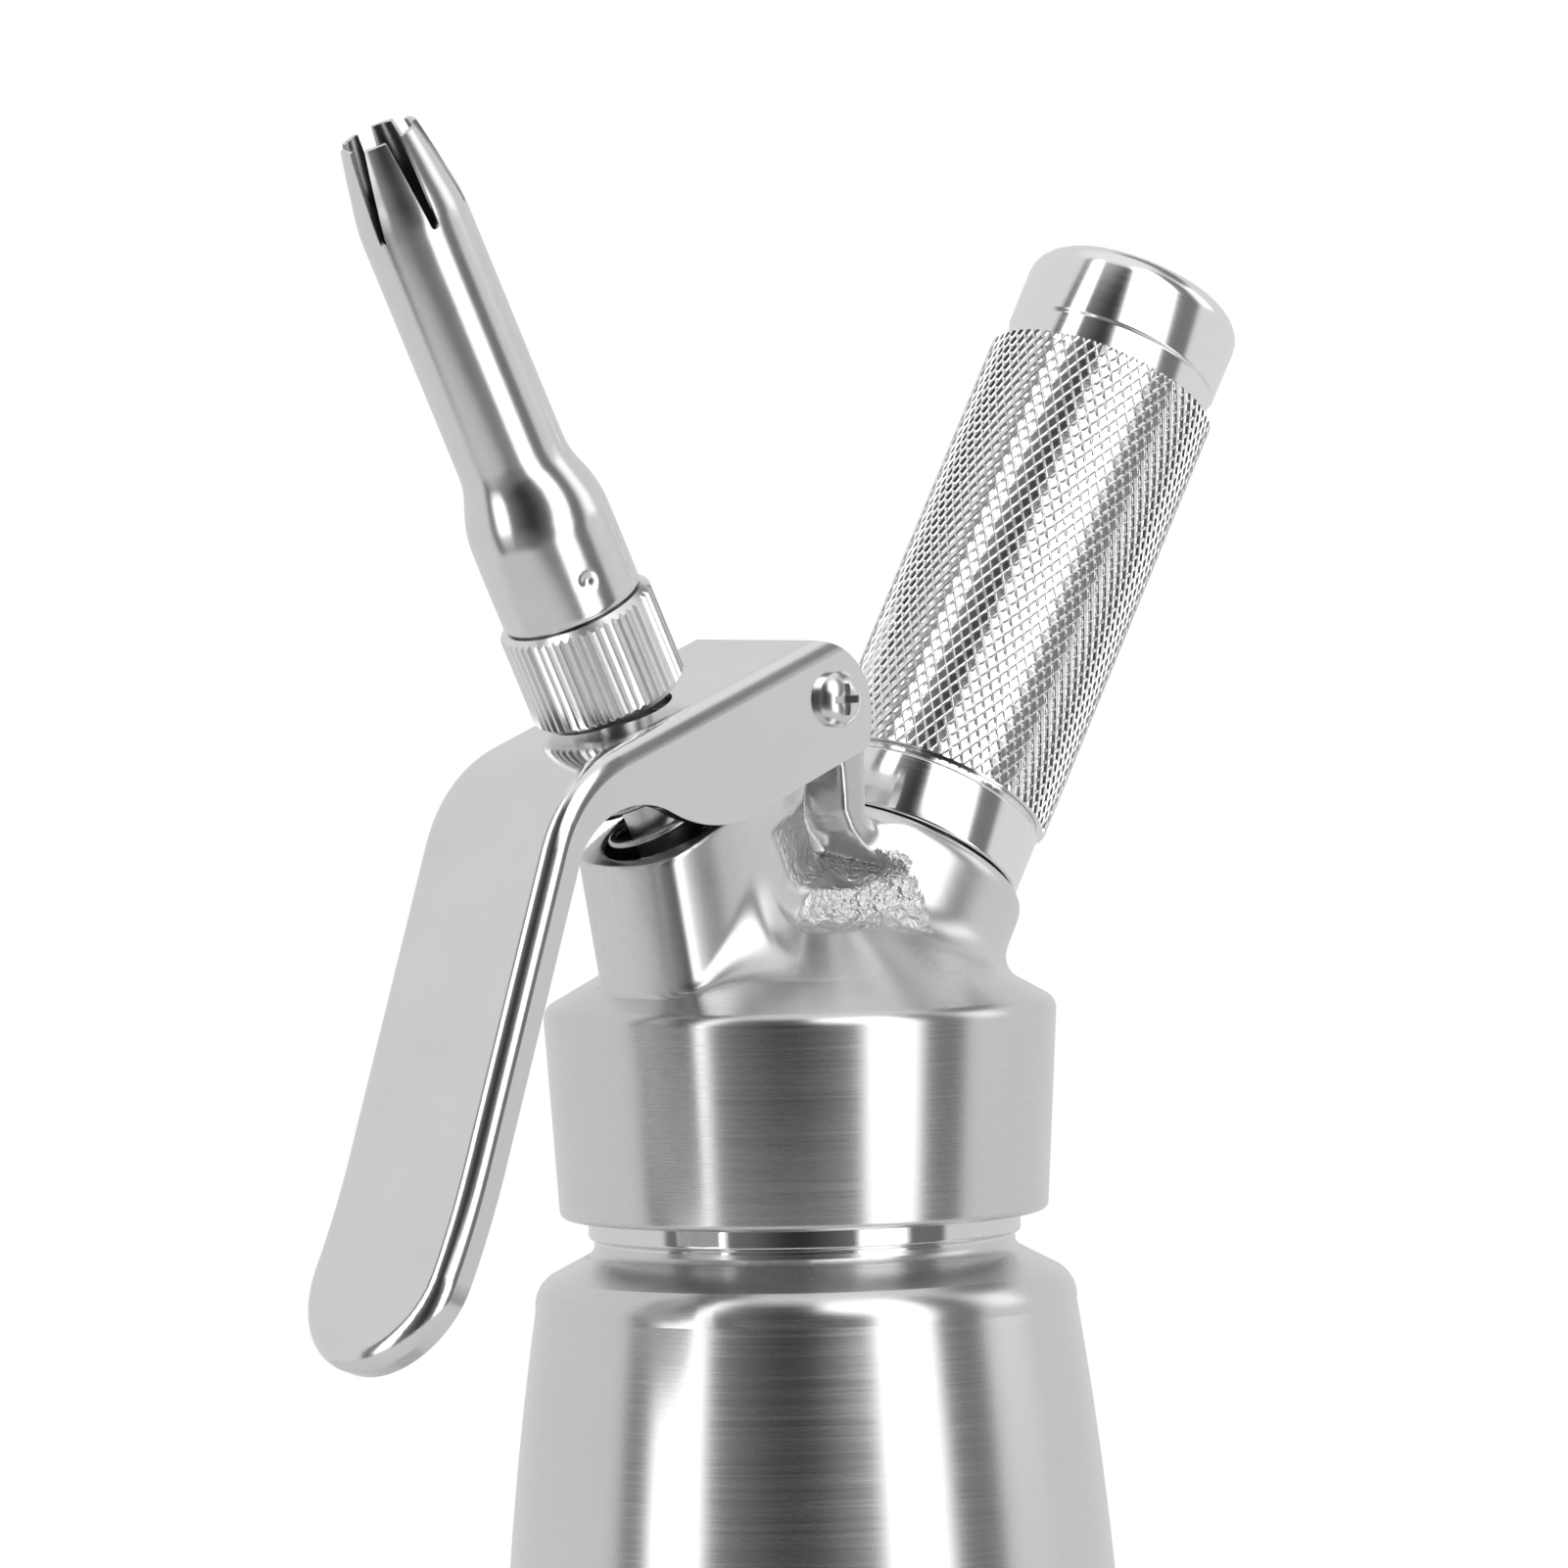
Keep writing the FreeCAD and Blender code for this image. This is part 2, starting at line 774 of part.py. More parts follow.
def make_valve_stem():
    """Hollow stem: tail for the disc, guided shank with a port, spring collar, plain top."""
    stem, tail, hollow = size("stem_radius"), size("tail_radius"), size("stem_bore")
    shoulder = valve_shoulder()
    middle, half = size("o_ring_along"), size("o_ring_wire") + 0.12
    root = stem - 2 * size("o_ring_wire") - 0.04
    under, top = size("collar_top") - size("collar_height"), size("collar_top")
    tip = shoulder - size("disc_height") - size("valve_nut_height") - 0.8
    floor = shoulder + 1.6
    shank = turned("stem_shank", [
        (0, tip),
        (tail - 0.4, tip),
        (tail, tip + 0.4),
        (tail, shoulder),
        (stem, shoulder),
        (stem, middle - half),
        (root, middle - half),
        (root, middle + half),
        (stem, middle + half),
        (stem, under),
        (size("collar_radius"), under),
        (size("collar_radius"), top),
        (stem, top),
        (stem, size("stem_top") - 0.5),
        (stem - 0.5, size("stem_top")),
        (hollow, size("stem_top")),
        (hollow, floor),
        (0, floor),
    ])
    port = rod("stem_port", size("stem_port_radius"), 0, 4 * stem)
    level = floor + size("stem_port_radius") + 0.3
    port.Placement = Placement(Vector(0, -2 * stem.value, level.value), Rotation(Vector(1, 0, 0), -90))
    bind(port, "Placement.Base.y", -(2 * stem))
    bind(port, "Placement.Base.z", level)
    return valve_axis.stand(cut("valve_stem", shank, [port]), 0, head_rise)


def make_stem_o_ring():
    ring = doc.addObject("Part::Torus", "stem_o_ring")
    ring.Label = "stem_o_ring"
    wire = size("o_ring_wire")
    ring.Radius1 = bind(ring, "Radius1", size("stem_radius") - wire - 0.02)
    ring.Radius2 = bind(ring, "Radius2", wire)
    return valve_axis.stand(ring, size("o_ring_along"), head_rise)


def make_valve_disc():
    """Rubber disc that the spring pulls up against the seat under the head."""
    top = valve_shoulder()
    low = top - size("disc_height")
    outer, inner = size("disc_radius"), size("tail_radius")
    disc = turned("valve_disc", [(inner, low), (outer, low), (outer, top), (inner, top)])
    return valve_axis.stand(disc, 0, head_rise)


def make_valve_nut():
    """Hexagon nut that holds the disc on the stem's tail."""
    nut = new_body("valve_nut")
    corner = size("valve_nut_radius")
    hexagon = body_sketch(nut, "XY_Plane", "hexagon")
    draw(hexagon, [(corner * cosine(dim(60 * side)), corner * sine(dim(60 * side))) for side in range(6)])
    pad = nut.newObject("PartDesign::Pad", "valve_nut_pad")
    pad.Profile = hexagon
    pad.Length = bind(pad, "Length", size("valve_nut_height"))
    doc.recompute()
    circle = body_sketch(nut, "XY_Plane", "hole")
    circle.addGeometry(Part.Circle(Vector(), Vector(0, 0, 1), float(size("tail_radius"))))
    circle.addConstraint(Sketcher.Constraint("Coincident", 0, 3, -1, 1))
    circle.addConstraint(Sketcher.Constraint("Radius", 0, float(size("tail_radius"))))
    bind(circle, "Constraints[1]", size("tail_radius"))
    drill = nut.newObject("PartDesign::Pocket", "valve_nut_hole")
    drill.Profile = circle
    drill.Type = "ThroughAll"
    drill.Reversed = True
    doc.recompute()
    low = valve_shoulder() - size("disc_height") - size("valve_nut_height")
    return valve_axis.stand(nut, low, head_rise)


def make_valve_spring():
    """Return spring, from the floor of the tower's well to the stem's collar."""
    wire = size("spring_wire")
    low = size("spring_well_floor") + wire + small_gap
    high = size("collar_top") - size("collar_height") - wire - small_gap
    helix = doc.addObject("Part::Helix", "spring_path")
    helix.Pitch = bind(helix, "Pitch", size("spring_pitch"))
    helix.Height = bind(helix, "Height", high - low)
    helix.Radius = bind(helix, "Radius", size("spring_radius"))
    section = doc.addObject("Part::RegularPolygon", "spring_section")
    section.Polygon = count("spring_sides")
    section.Circumradius = bind(section, "Circumradius", wire)
    section.Placement = Placement(Vector(float(size("spring_radius")), 0, 0), Rotation(Vector(1, 0, 0), 90))
    bind(section, "Placement.Base.x", size("spring_radius"))
    spring = doc.addObject("Part::Sweep", "valve_spring")
    spring.Label = "valve_spring"
    spring.Sections = [section]
    spring.Spine = helix
    spring.Solid = True
    spring.Frenet = True
    return valve_axis.stand(spring, low, head_rise)


# ---------------------------------------------------------------- nozzle
def stub_top():
    return size("adaptor_along") + size("adaptor_height") + size("stub_height")


def make_adaptor():
    """Fluted nut on the stem, with a stub on top that the nozzle screws on."""
    low = size("adaptor_along")
    high = low + size("adaptor_height")
    outer, edge = size("adaptor_radius"), size("adaptor_chamfer")
    stub, bore = size("stub_radius"), size("stem_radius") + running_gap
    stop = size("stem_top") + small_gap
    blank = turned("adaptor_blank", [
        (bore, low),
        (outer - edge, low),
        (outer, low + edge),
        (outer, high - edge * 0.75),
        (outer - edge * 0.75, high),
        (stub, high),
        (stub, stub_top() - 0.6),
        (stub - 0.6, stub_top()),
        (size("seal_bore"), stub_top()),
        (size("seal_bore"), stop),
        (bore, stop),
    ])
    flutes = doc.addObject("Part::Feature", "adaptor_flutes")
    flutes.Shape = flute_cutters(float(low) - 1, float(high) + 1)
    return valve_axis.stand(cut("adaptor_nut", blank, [flutes]), 0, head_rise)


def flute_cutters(low, high):
    """V grooves all round the nut, which run out in its chamfers."""
    outer, root = float(size("adaptor_radius")), float(size("adaptor_radius") - size("flute_depth"))
    total = count("flute_count")
    half = math.pi * outer / total * 0.85
    corners = [(root, 0), (outer + 0.1, -half), (outer + 0.1, half), (root, 0)]
    section = Part.Face(Part.makePolygon([Vector(x, y, low) for x, y in corners]))
    groove = section.extrude(Vector(0, 0, high - low))
    return Part.makeCompound(ring_of(groove, total, 0.0))


def ring_of(shape, total, phase):
    """Copies of a shape, evenly round the Z axis."""
    copies = []
    for turn in range(total):
        one = shape.copy()
        one.rotate(Vector(), Vector(0, 0, 1), phase + 360.0 * turn / total)
        copies.append(one)
    return copies


def make_nozzle_seal():
    """Flat ring that the nozzle's insert presses on the adaptor's stub."""
    low = stub_top() + small_gap
    high = low + size("seal_height")
    outer, inner = size("stub_radius"), size("seal_bore")
    seal = turned("nozzle_seal", [(inner, low), (outer, low), (outer, high), (inner, high)])
    return valve_axis.stand(seal, 0, head_rise)


def make_nozzle_insert():
    """Threaded ring that the nozzle's shell is crimped on."""
    shelf = stub_top() + small_gap + size("seal_height")
    top = shelf + size("insert_lip")
    outer = size("nozzle_bulb_radius") - size("nozzle_wall") - running_gap
    bore = size("stub_radius") + running_gap
    crimp, groove = size("crimp_along"), outer - size("crimp_depth")
    insert = turned("nozzle_insert", [
        (bore, top - size("insert_height")),
        (outer, top - size("insert_height")),
        (outer, crimp - 1.5),
        (groove, crimp - 1.0),
        (groove, crimp + 1.0),
        (outer, crimp + 1.5),
        (outer, top),
        (size("seal_bore"), top),
        (size("seal_bore"), shelf),
        (bore, shelf),
    ])
    return valve_axis.stand(insert, 0, head_rise)


def nozzle_neck():
    """Place along the valve axis where the nozzle's straight tube begins."""
    return size("nozzle_bulb_along") + size("nozzle_flare_rise") + size("nozzle_neck_rise")


def nozzle_tip():
    return nozzle_neck() + size("nozzle_tube_length") + size("nozzle_taper_length")


def make_nozzle():
    """Drawn tube with a bulb at its foot and six petals cut in its tip."""
    wall, bulb, tube = size("nozzle_wall"), size("nozzle_bulb_radius"), size("nozzle_tube_radius")
    rim = size("adaptor_along") + size("adaptor_height") + small_gap
    bulb_top, neck = size("nozzle_bulb_along"), nozzle_neck()
    flare, flare_z = size("nozzle_flare_radius"), bulb_top + size("nozzle_flare_rise")
    ease, rise = dim(1.6), dim(0.34)
    taper, tip, mouth = neck + size("nozzle_tube_length"), nozzle_tip(), size("nozzle_tip_radius")
    upper, lower = bend(flare_z - bulb_top, bulb - flare), bend(ease, rise)
    petal = bend(tip - taper, tube - mouth)
    shell = turned("nozzle_shell", [
        (bulb - wall, rim),
        (bulb, rim),
        (bulb, bulb_top),
        (flare, flare_z, upper),
        (tube + rise, neck - ease),
        (tube, neck, -lower),
        (tube, taper),
        (mouth, tip, petal),
        (mouth - wall, tip),
        (tube - wall, taper, -(petal - wall)),
        (tube - wall, neck),
        (tube + rise - wall, neck - ease - wall / 4, lower + wall),
        (flare - wall, flare_z - wall / 4),
        (bulb - wall, bulb_top, -(upper - wall)),
    ])
    slots = doc.addObject("Part::Feature", "nozzle_slots")
    slots.Shape = slot_cutters()
    return valve_axis.stand(cut("nozzle", shell, [slots]), 0, head_rise)


def slot_cutters():
    """Slots between the petals: narrow and round at the foot, wider at the mouth."""
    foot, mouth = float(size("slot_foot_width")) / 2, float(size("slot_mouth_width")) / 2
    high = float(nozzle_tip()) + 1
    low = float(nozzle_tip() - size("slot_length"))
    left, right = Vector(1, -foot, low + foot), Vector(1, foot, low + foot)
    high_left, high_right = Vector(1, -mouth, high), Vector(1, mouth, high)
    rails = [
        Part.Arc(left, Vector(1, 0, low), right).toShape(),
        Part.makeLine(right, high_right),
        Part.makeLine(high_right, high_left),
        Part.makeLine(high_left, left),
    ]
    slot = Part.Face(Part.Wire(rails)).extrude(Vector(float(size("nozzle_tube_radius")) + 1, 0, 0))
    return Part.makeCompound(ring_of(slot, count("petal_count"), float(size("petal_phase"))))


# ---------------------------------------------------------------- lever and its pivot
def handle_point(down, inward):
    """A point by its distance down the handle from the bend and in from the outer face."""
    down, inward, angle = dim(down), dim(inward), size("lever_bend")
    x = -size("lever_reach") - down * cosine(angle) + inward * sine(angle)
    z = size("strap_above_pivot") - down * sine(angle) - inward * cosine(angle)
    return x, z


def handle_outline(inset):
    """Strap and handle of the lever from the side; an inset draws its hollow instead.

    The lever is drawn in its own frame: the pivot is the origin, X runs along the strap."""
    inset = dim(inset)
    hollow = inset.value > 0
    top, low = size("strap_above_pivot") - inset, -size("cheek_below_pivot")
    radius = size("lever_bend_radius") - inset
    ease = size("lever_bend_radius") * tangent(size("lever_bend") / 2)
    length, curl, run = size("handle_length"), size("handle_curl"), size("handle_curl_length")
    swing = bend(run, curl)
    below = size("handle_depth") + (20 if hollow else 0)
    outer = [
        (ease - size("lever_reach"), top),
        handle_point(ease, inset) + (radius,),
        handle_point(length - run, inset),
        handle_point(length - inset, inset - curl) + (-(swing + inset),),
    ]
    if hollow:
        end, past = size("strap_end"), size("cheek_radius") + 5
        return [
            (past, top + 2 * inset),
            (end, top + 2 * inset),
            (end, top),
        ] + outer + [
            handle_point(length - inset, below),
            (past, low - 20),
        ]
    reach, belly, arch = size("lever_reach"), size("belly_radius"), size("arch_radius")
    return [
        (size("strap_end") - 0.6, top, size("strap_corner")),
    ] + outer + [
        handle_point(length, below - curl),
        handle_point(length - run, below) + (swing + below,),
        handle_point(size("arch_foot"), below),
        (size("arch_reach") - reach, low + size("arch_rise"), -arch),
        (size("belly_reach") - reach, low, belly),
        (size("cheek_toe"), low + size("cheek_toe_rise")),
        (size("cheek_radius"), -size("cheek_front_drop"), size("cheek_front_round")),
    ]


def make_lever():
    """Pressed channel: a strap over the valve stem, two cheeks and a long bent handle."""
    width, wall, end_round = size("lever_width"), size("lever_wall"), size("lever_end_round")
    tip = size("handle_length")
    outside = slab("lever_outside", handle_outline(0), width)
    middle = handle_point(tip, 1.0)
    soften(outside, end_round, [spot(*middle, width / 2), spot(*middle, -width / 2)])
    corner = handle_point(size("handle_length") * 0.4, 0)
    soften(outside, size("lever_edge"), [spot(*corner, width / 2), spot(*corner, -width / 2)])
    inside = slab("lever_inside", handle_outline(wall), width - 2 * wall)
    middle = handle_point(tip - wall, 4.0)
    half = width / 2 - wall
    soften(inside, end_round - wall, [spot(*middle, half), spot(*middle, -half)])
    bore = rod("lever_pivot_bore", size("pivot_radius") + running_gap, 0, width + 2)
    bore.Placement = Placement(Vector(0, -(width / 2 + 1).value, 0), Rotation(Vector(1, 0, 0), -90))
    bind(bore, "Placement.Base.y", -(width / 2 + 1))
    hole = rod("lever_stem_hole", size("stem_hole_radius"), 0, 10)
    place(hole, -(stem_reach() + 0.4), size("strap_above_pivot") - 5)
    lever = cut("lever", outside, [inside, bore, hole])
    return place(lever, pivot_x, head_rise + pivot_z, size("lever_slope"), -1)


def stem_reach():
    """Distance from the pivot to the valve's axis."""
    aside = (pivot_x - valve_axis.start) * cosine(valve_axis.tilt)
    return aside + pivot_z * sine(valve_axis.tilt)


def on_pivot(thing):
    """Point a turned piece along the pivot, its own +Z towards -Y."""
    base = Vector(pivot_x.value, 0, (head_rise + pivot_z).value)
    thing.Placement = Placement(base, Rotation(Vector(1, 0, 0), 90))
    bind(thing, "Placement.Base.x", pivot_x)
    bind(thing, "Placement.Base.z", head_rise + pivot_z)
    return thing


def make_pivot_screw():
    """Pan-head screw with a cross recess, seated on the near cheek."""
    face, head = size("lever_width") / 2, size("screw_head_radius")
    shank, height = size("screw_radius"), size("screw_head_height")
    blank = turned("screw_blank", [
        (0, face - size("screw_length")),
        (shank, face - size("screw_length")),
        (shank, face),
        (head, face),
        (head, face + height * 0.35),
        (head * 0.35, face + height, head * 0.85),
        (0, face + height),
    ])
    recess = []
    for name, across, along in (("recess_one", "recess_width", "recess_span"),
                                ("recess_two", "recess_span", "recess_width")):
        box = doc.addObject("Part::Box", name)
        box.Length = bind(box, "Length", size(across))
        box.Width = bind(box, "Width", size(along))
        box.Height = 5
        base = -(size(across) / 2), -(size(along) / 2), face + height - size("recess_depth")
        box.Placement = Placement(Vector(*[amount.value for amount in base]), Rotation())
        for axis, amount in zip("xyz", base):
            bind(box, f"Placement.Base.{axis}", amount)
        recess.append(box)
    return on_pivot(cut("pivot_screw", blank, recess))


def make_pivot_sleeve():
    """Barrel nut that the lever and the lug turn on, with its flange on the far cheek."""
    face, barrel, flange = size("lever_width") / 2, size("pivot_radius"), size("sleeve_head_radius")
    bore, height = size("screw_radius") + running_gap, size("sleeve_head_height")
    floor = face - size("screw_length") - 1
    return on_pivot(turned("pivot_sleeve", [
        (0, -face - height),
        (flange - 0.5, -face - height),
        (flange, -face - height + 0.5, 0.5),
        (flange, -face),
        (barrel, -face),
        (barrel, face - running_gap),
        (bore, face - running_gap),
        (bore, floor),
        (0, floor),
    ]))


# ---------------------------------------------------------------- charger and its holder
def make_charger_nipple():
    """Insert screwed into the boss: seat for seal and pin, and the holder's thread outside."""
    low, top = size("socket_floor"), size("nipple_top")
    outer, crest = size("socket_radius") - running_gap, size("nipple_thread")
    neck = size("charger_neck_radius") + small_gap
    seal = size("charger_seal_along")
    pin, stop = size("pin_base_radius") + running_gap, size("pin_base_along") + size("pin_base_height")
    nipple = turned("charger_nipple", [
        (pin, low),
        (outer, low),
        (outer, size("boss_top")),
        (crest, size("boss_top")),
        (crest, top - 0.6),
        (crest - 0.6, top),
        (neck, top),
        (neck, seal),
        (size("charger_seal_bore") - running_gap, seal),
        (size("charger_seal_bore") - running_gap, stop),
        (pin, stop),
    ])
    return charger_axis.stand(nipple, 0, head_rise)


def make_piercing_pin():
    """Hollow pin that pierces the charger, pressed into the nipple from below."""
    low, base = size("pin_base_along"), size("pin_base_radius")
    pin, hollow = size("pin_radius"), size("pin_bore")
    tip = low + size("pin_length")
    body = turned("piercing_pin", [
        (hollow, low),
        (base, low),
        (base, low + size("pin_base_height")),
        (pin, low + size("pin_base_height")),
        (pin, tip - 1.2),
        (hollow + 0.1, tip),
        (hollow, tip),
    ])
    return charger_axis.stand(body, 0, head_rise)


def make_charger_seal():
    low = size("charger_seal_along")
    high = low + size("charger_seal_height")
    outer, inner = size("charger_neck_radius") + small_gap - running_gap, size("charger_seal_bore")
    seal = turned("charger_seal", [(inner, low), (outer, low), (outer, high), (inner, high)])
    return charger_axis.stand(seal, 0, head_rise)


def make_check_valve():
    """Rubber umbrella that lets gas into the bottle and keeps the cream out."""
    high = size("check_seat") - size("seat_gap")
    low = high - size("check_height")
    outer, stalk = size("check_well_radius") - 0.6, size("check_stalk")
    rubber = turned("check_valve", [
        (0, low),
        (outer - 1.2, low),
        (outer, high, size("check_height") * 1.4),
        (stalk, high),
        (stalk, high + 4),
        (0, high + 4),
    ])
    return charger_axis.stand(rubber, 0, head_rise)


def make_holder_tube():
    """Steel tube with a collar that screws on the nipple and a core under the grip."""
    low, collar = size("boss_top") + size("seam_gap"), size("holder_collar_radius")
    foot, core = size("grip_foot"), size("holder_core_radius") - running_gap
    top = foot + size("grip_length")
    spigot, spigot_top = size("holder_spigot_radius") - running_gap, top + size("holder_spigot")
    groove, socket = size("collar_groove"), size("nipple_thread") + small_gap
    shelf = low + size("holder_socket_depth")
    tube = turned("holder_tube", [
        (socket, low),
        (collar - 0.3, low),
        (collar, low + 0.3),
        (collar, foot - 2 * groove),
        (collar - groove, foot - groove),
        (collar - groove, foot),
        (core, foot),
        (core, top),
        (spigot, top),
        (spigot, spigot_top),
        (size("holder_bore"), spigot_top),
        (size("holder_bore"), shelf),
        (socket, shelf),
    ])
    return charger_axis.stand(tube, 0, head_rise)


def make_grip_sleeve():
    """Knurled grip pressed over the tube's core."""
    low, high = size("grip_foot"), size("grip_foot") + size("grip_length")
    inner, outer, edge = size("holder_core_radius"), size("grip_radius"), size("grip_chamfer")
    sleeve = turned("grip_sleeve", [
        (inner, low),
        (outer - edge, low),
        (outer, low + edge),
        (outer, high - edge),
        (outer - edge, high),
        (inner, high),
    ])
    return charger_axis.stand(sleeve, 0, head_rise)


def make_holder_cap():
    """Rounded cap pressed on the tube's end, with a narrow neck next to the grip."""
    low = size("grip_foot") + size("grip_length")
    neck, crown, bore = size("cap_neck_radius"), size("cap_radius"), size("holder_spigot_radius")
    high, rounded = low + size("cap_length"), size("cap_round")
    step = low + size("cap_neck_height")
    ledge = low + size("holder_spigot") + running_gap
    cap = turned("holder_cap", [
        (bore, low),
        (neck, low),
        (neck, step - 0.25),
        (crown, step + 0.1),
        (crown, high - rounded),
        (crown - rounded, high, rounded),
        (0, high),
        (0, high - size("cap_crown")),
        (size("holder_bore"), high - size("cap_crown")),
        (size("holder_bore"), ledge),
        (bore, ledge),
    ])
    return charger_axis.stand(cap, 0, head_rise)


def make_gas_charger():
    """Steel gas capsule: thin neck, rounded shoulder, straight wall, domed end."""
    tip = size("charger_seal_along") + size("charger_seal_height") + small_gap
    neck, hole = size("charger_neck_radius"), size("charger_hole")
    radius, wall, dome = size("charger_radius"), size("charger_wall"), size("charger_dome")
    throat = tip + size("charger_neck_length")
    shoulder, end = throat + size("charger_shoulder"), tip + size("charger_length")
    capsule = turned("gas_charger", [
        (hole, tip),
        (neck, tip),
        (neck, throat),
        (radius, shoulder, size("charger_shoulder") * 1.15),
        (radius, end - dome),
        (radius - dome, end, dome),
        (0, end),
        (0, end - wall),
        (radius - dome, end - wall),
        (radius - wall, end - dome, -(dome - wall)),
        (radius - wall, shoulder + wall / 2),
        (neck - wall, throat + wall, -(size("charger_shoulder") * 1.2)),
        (neck - wall, tip + wall),
        (hole, tip + wall),
    ])
    return charger_axis.stand(capsule, 0, head_rise)


# ---------------------------------------------------------------- assembly and output
PIECES = [
    make_bottle(),
    make_neck_ring(),
    make_head(),
    make_head_gasket(),
    make_valve_stem(),
    make_stem_o_ring(),
    make_valve_disc(),
    make_valve_nut(),
    make_valve_spring(),
    make_adaptor(),
    make_nozzle_seal(),
    make_nozzle_insert(),
    make_nozzle(),
    make_lever(),
    make_pivot_screw(),
    make_pivot_sleeve(),
    make_charger_nipple(),
    make_piercing_pin(),
    make_charger_seal(),
    make_check_valve(),
    make_holder_tube(),
    make_grip_sleeve(),
    make_holder_cap(),
    make_gas_charger(),
]
doc.recompute()

for item in doc.Objects:
    if "Invalid" in item.State or "Error" in item.State:
        raise RuntimeError(f"{item.Name} failed: {item.State}")
for piece in PIECES:
    if piece.Shape.isNull() or not piece.Shape.isValid():
        raise RuntimeError(f"{piece.Label} has no valid shape")

os.makedirs("parts", exist_ok=True)
for piece in PIECES:
    piece.Shape.exportStep(f"parts/{piece.Label}.step")
    box = piece.Shape.BoundBox
    print(f"{piece.Label:16s} solids {len(piece.Shape.Solids)} volume {piece.Shape.Volume:10.1f}"
          f"  z {box.ZMin:7.2f} to {box.ZMax:7.2f}")
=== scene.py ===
# %% [markdown]
# # A whipped cream dispenser in stainless steel
#
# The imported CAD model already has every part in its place. This lesson gives it
# the looks of the real thing: brushed and polished steel, a rough cast head, a
# knurled grip and a drawn nozzle with petals. Parts whose CAD shape is right keep
# it and get a finish. Parts whose real shape is finer are made again here.

# %% Load the frame
import math

import bmesh
import bpy
import numpy as np
from mathutils import Matrix, Vector


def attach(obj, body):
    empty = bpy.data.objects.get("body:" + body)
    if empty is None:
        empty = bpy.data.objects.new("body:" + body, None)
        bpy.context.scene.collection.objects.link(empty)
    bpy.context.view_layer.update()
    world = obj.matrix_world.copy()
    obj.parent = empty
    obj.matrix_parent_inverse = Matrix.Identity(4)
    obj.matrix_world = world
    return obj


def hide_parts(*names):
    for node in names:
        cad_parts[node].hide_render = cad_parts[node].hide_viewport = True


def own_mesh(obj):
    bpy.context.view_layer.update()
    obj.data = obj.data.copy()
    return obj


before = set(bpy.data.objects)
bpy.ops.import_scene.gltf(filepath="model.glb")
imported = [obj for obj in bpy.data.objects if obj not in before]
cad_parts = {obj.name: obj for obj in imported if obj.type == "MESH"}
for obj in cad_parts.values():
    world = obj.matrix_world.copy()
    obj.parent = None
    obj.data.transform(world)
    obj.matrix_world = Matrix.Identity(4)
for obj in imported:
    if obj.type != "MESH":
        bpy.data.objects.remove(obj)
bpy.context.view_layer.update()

# %% [markdown]
# ## Lengths and axes
#
# Sizes are in millimetres, and heights are counted from the skirt's upper edge,
# where the head's shallow cone begins. Two axes lean out of the head from there:
# the valve's, to the left, and the charger's, to the right. A matrix for each one
# lets us build a turned part upright and then stand it on its axis.

# %% Axes of the leaning parts
MM = 0.001
HEAD_RISE = 175.3
VALVE_X, VALVE_LEAN = -9.92, -27.0
CHARGER_X, CHARGER_LEAN = 8.06, 31.27


def leaning(foot_x, lean):
    """Frame whose Z runs up an axis that leans by lean degrees towards +X."""
    foot = Matrix.Translation((foot_x * MM, 0, HEAD_RISE * MM))
    return foot @ Matrix.Rotation(math.radians(lean), 4, "Y")


upright = leaning(0, 0)
valve_axis = leaning(VALVE_X, VALVE_LEAN)
charger_axis = leaning(CHARGER_X, CHARGER_LEAN)
print("valve axis points to", [round(x, 3) for x in valve_axis.col[2][:3]])

# %% [markdown]
# ## Camera
#
# The picture is taken with a long lens, nearly level with the head, so parallel
# edges stay nearly parallel. The camera's three directions are worked out from its
# azimuth, elevation and roll, which are easier to adjust than a rotation.

# %% The camera
AZIMUTH, ELEVATION, ROLL = (math.radians(angle) for angle in (-42.31, 2.27, -1.26))
toward_camera = Vector((
    math.sin(AZIMUTH) * math.cos(ELEVATION),
    -math.cos(AZIMUTH) * math.cos(ELEVATION),
    math.sin(ELEVATION),
))
level_right = Vector((math.cos(AZIMUTH), math.sin(AZIMUTH), 0))


def add_camera(distance, lens, aside, height):
    """A camera on the line of sight through a point beside the bottle's axis."""
    level_up = toward_camera.cross(level_right)
    right = math.cos(ROLL) * level_right + math.sin(ROLL) * level_up
    up = math.cos(ROLL) * level_up - math.sin(ROLL) * level_right
    target = aside * level_right + Vector((0, 0, HEAD_RISE + height))
    camera = bpy.data.objects.new("camera", bpy.data.cameras.new("camera"))
    bpy.context.scene.collection.objects.link(camera)
    camera.matrix_world = Matrix((right, up, toward_camera)).transposed().to_4x4()
    camera.location = (target + toward_camera * distance) * MM
    camera.data.lens = lens
    camera.data.sensor_width = 36
    camera.data.clip_start = 0.05
    bpy.context.scene.camera = camera
    return camera


camera = add_camera(distance=1300, lens=247.6, aside=-1.31, height=26.52)
print("camera at", [round(x, 3) for x in camera.location])

# %% [markdown]
# ## Shader maths
#
# A node tree is a drawing of a formula. To write the formula itself, one small
# class wraps a socket: adding or multiplying two wires adds the Math node for it.
# Every other node comes from one method, which takes the node's settings first
# and then the values or wires of its sockets.

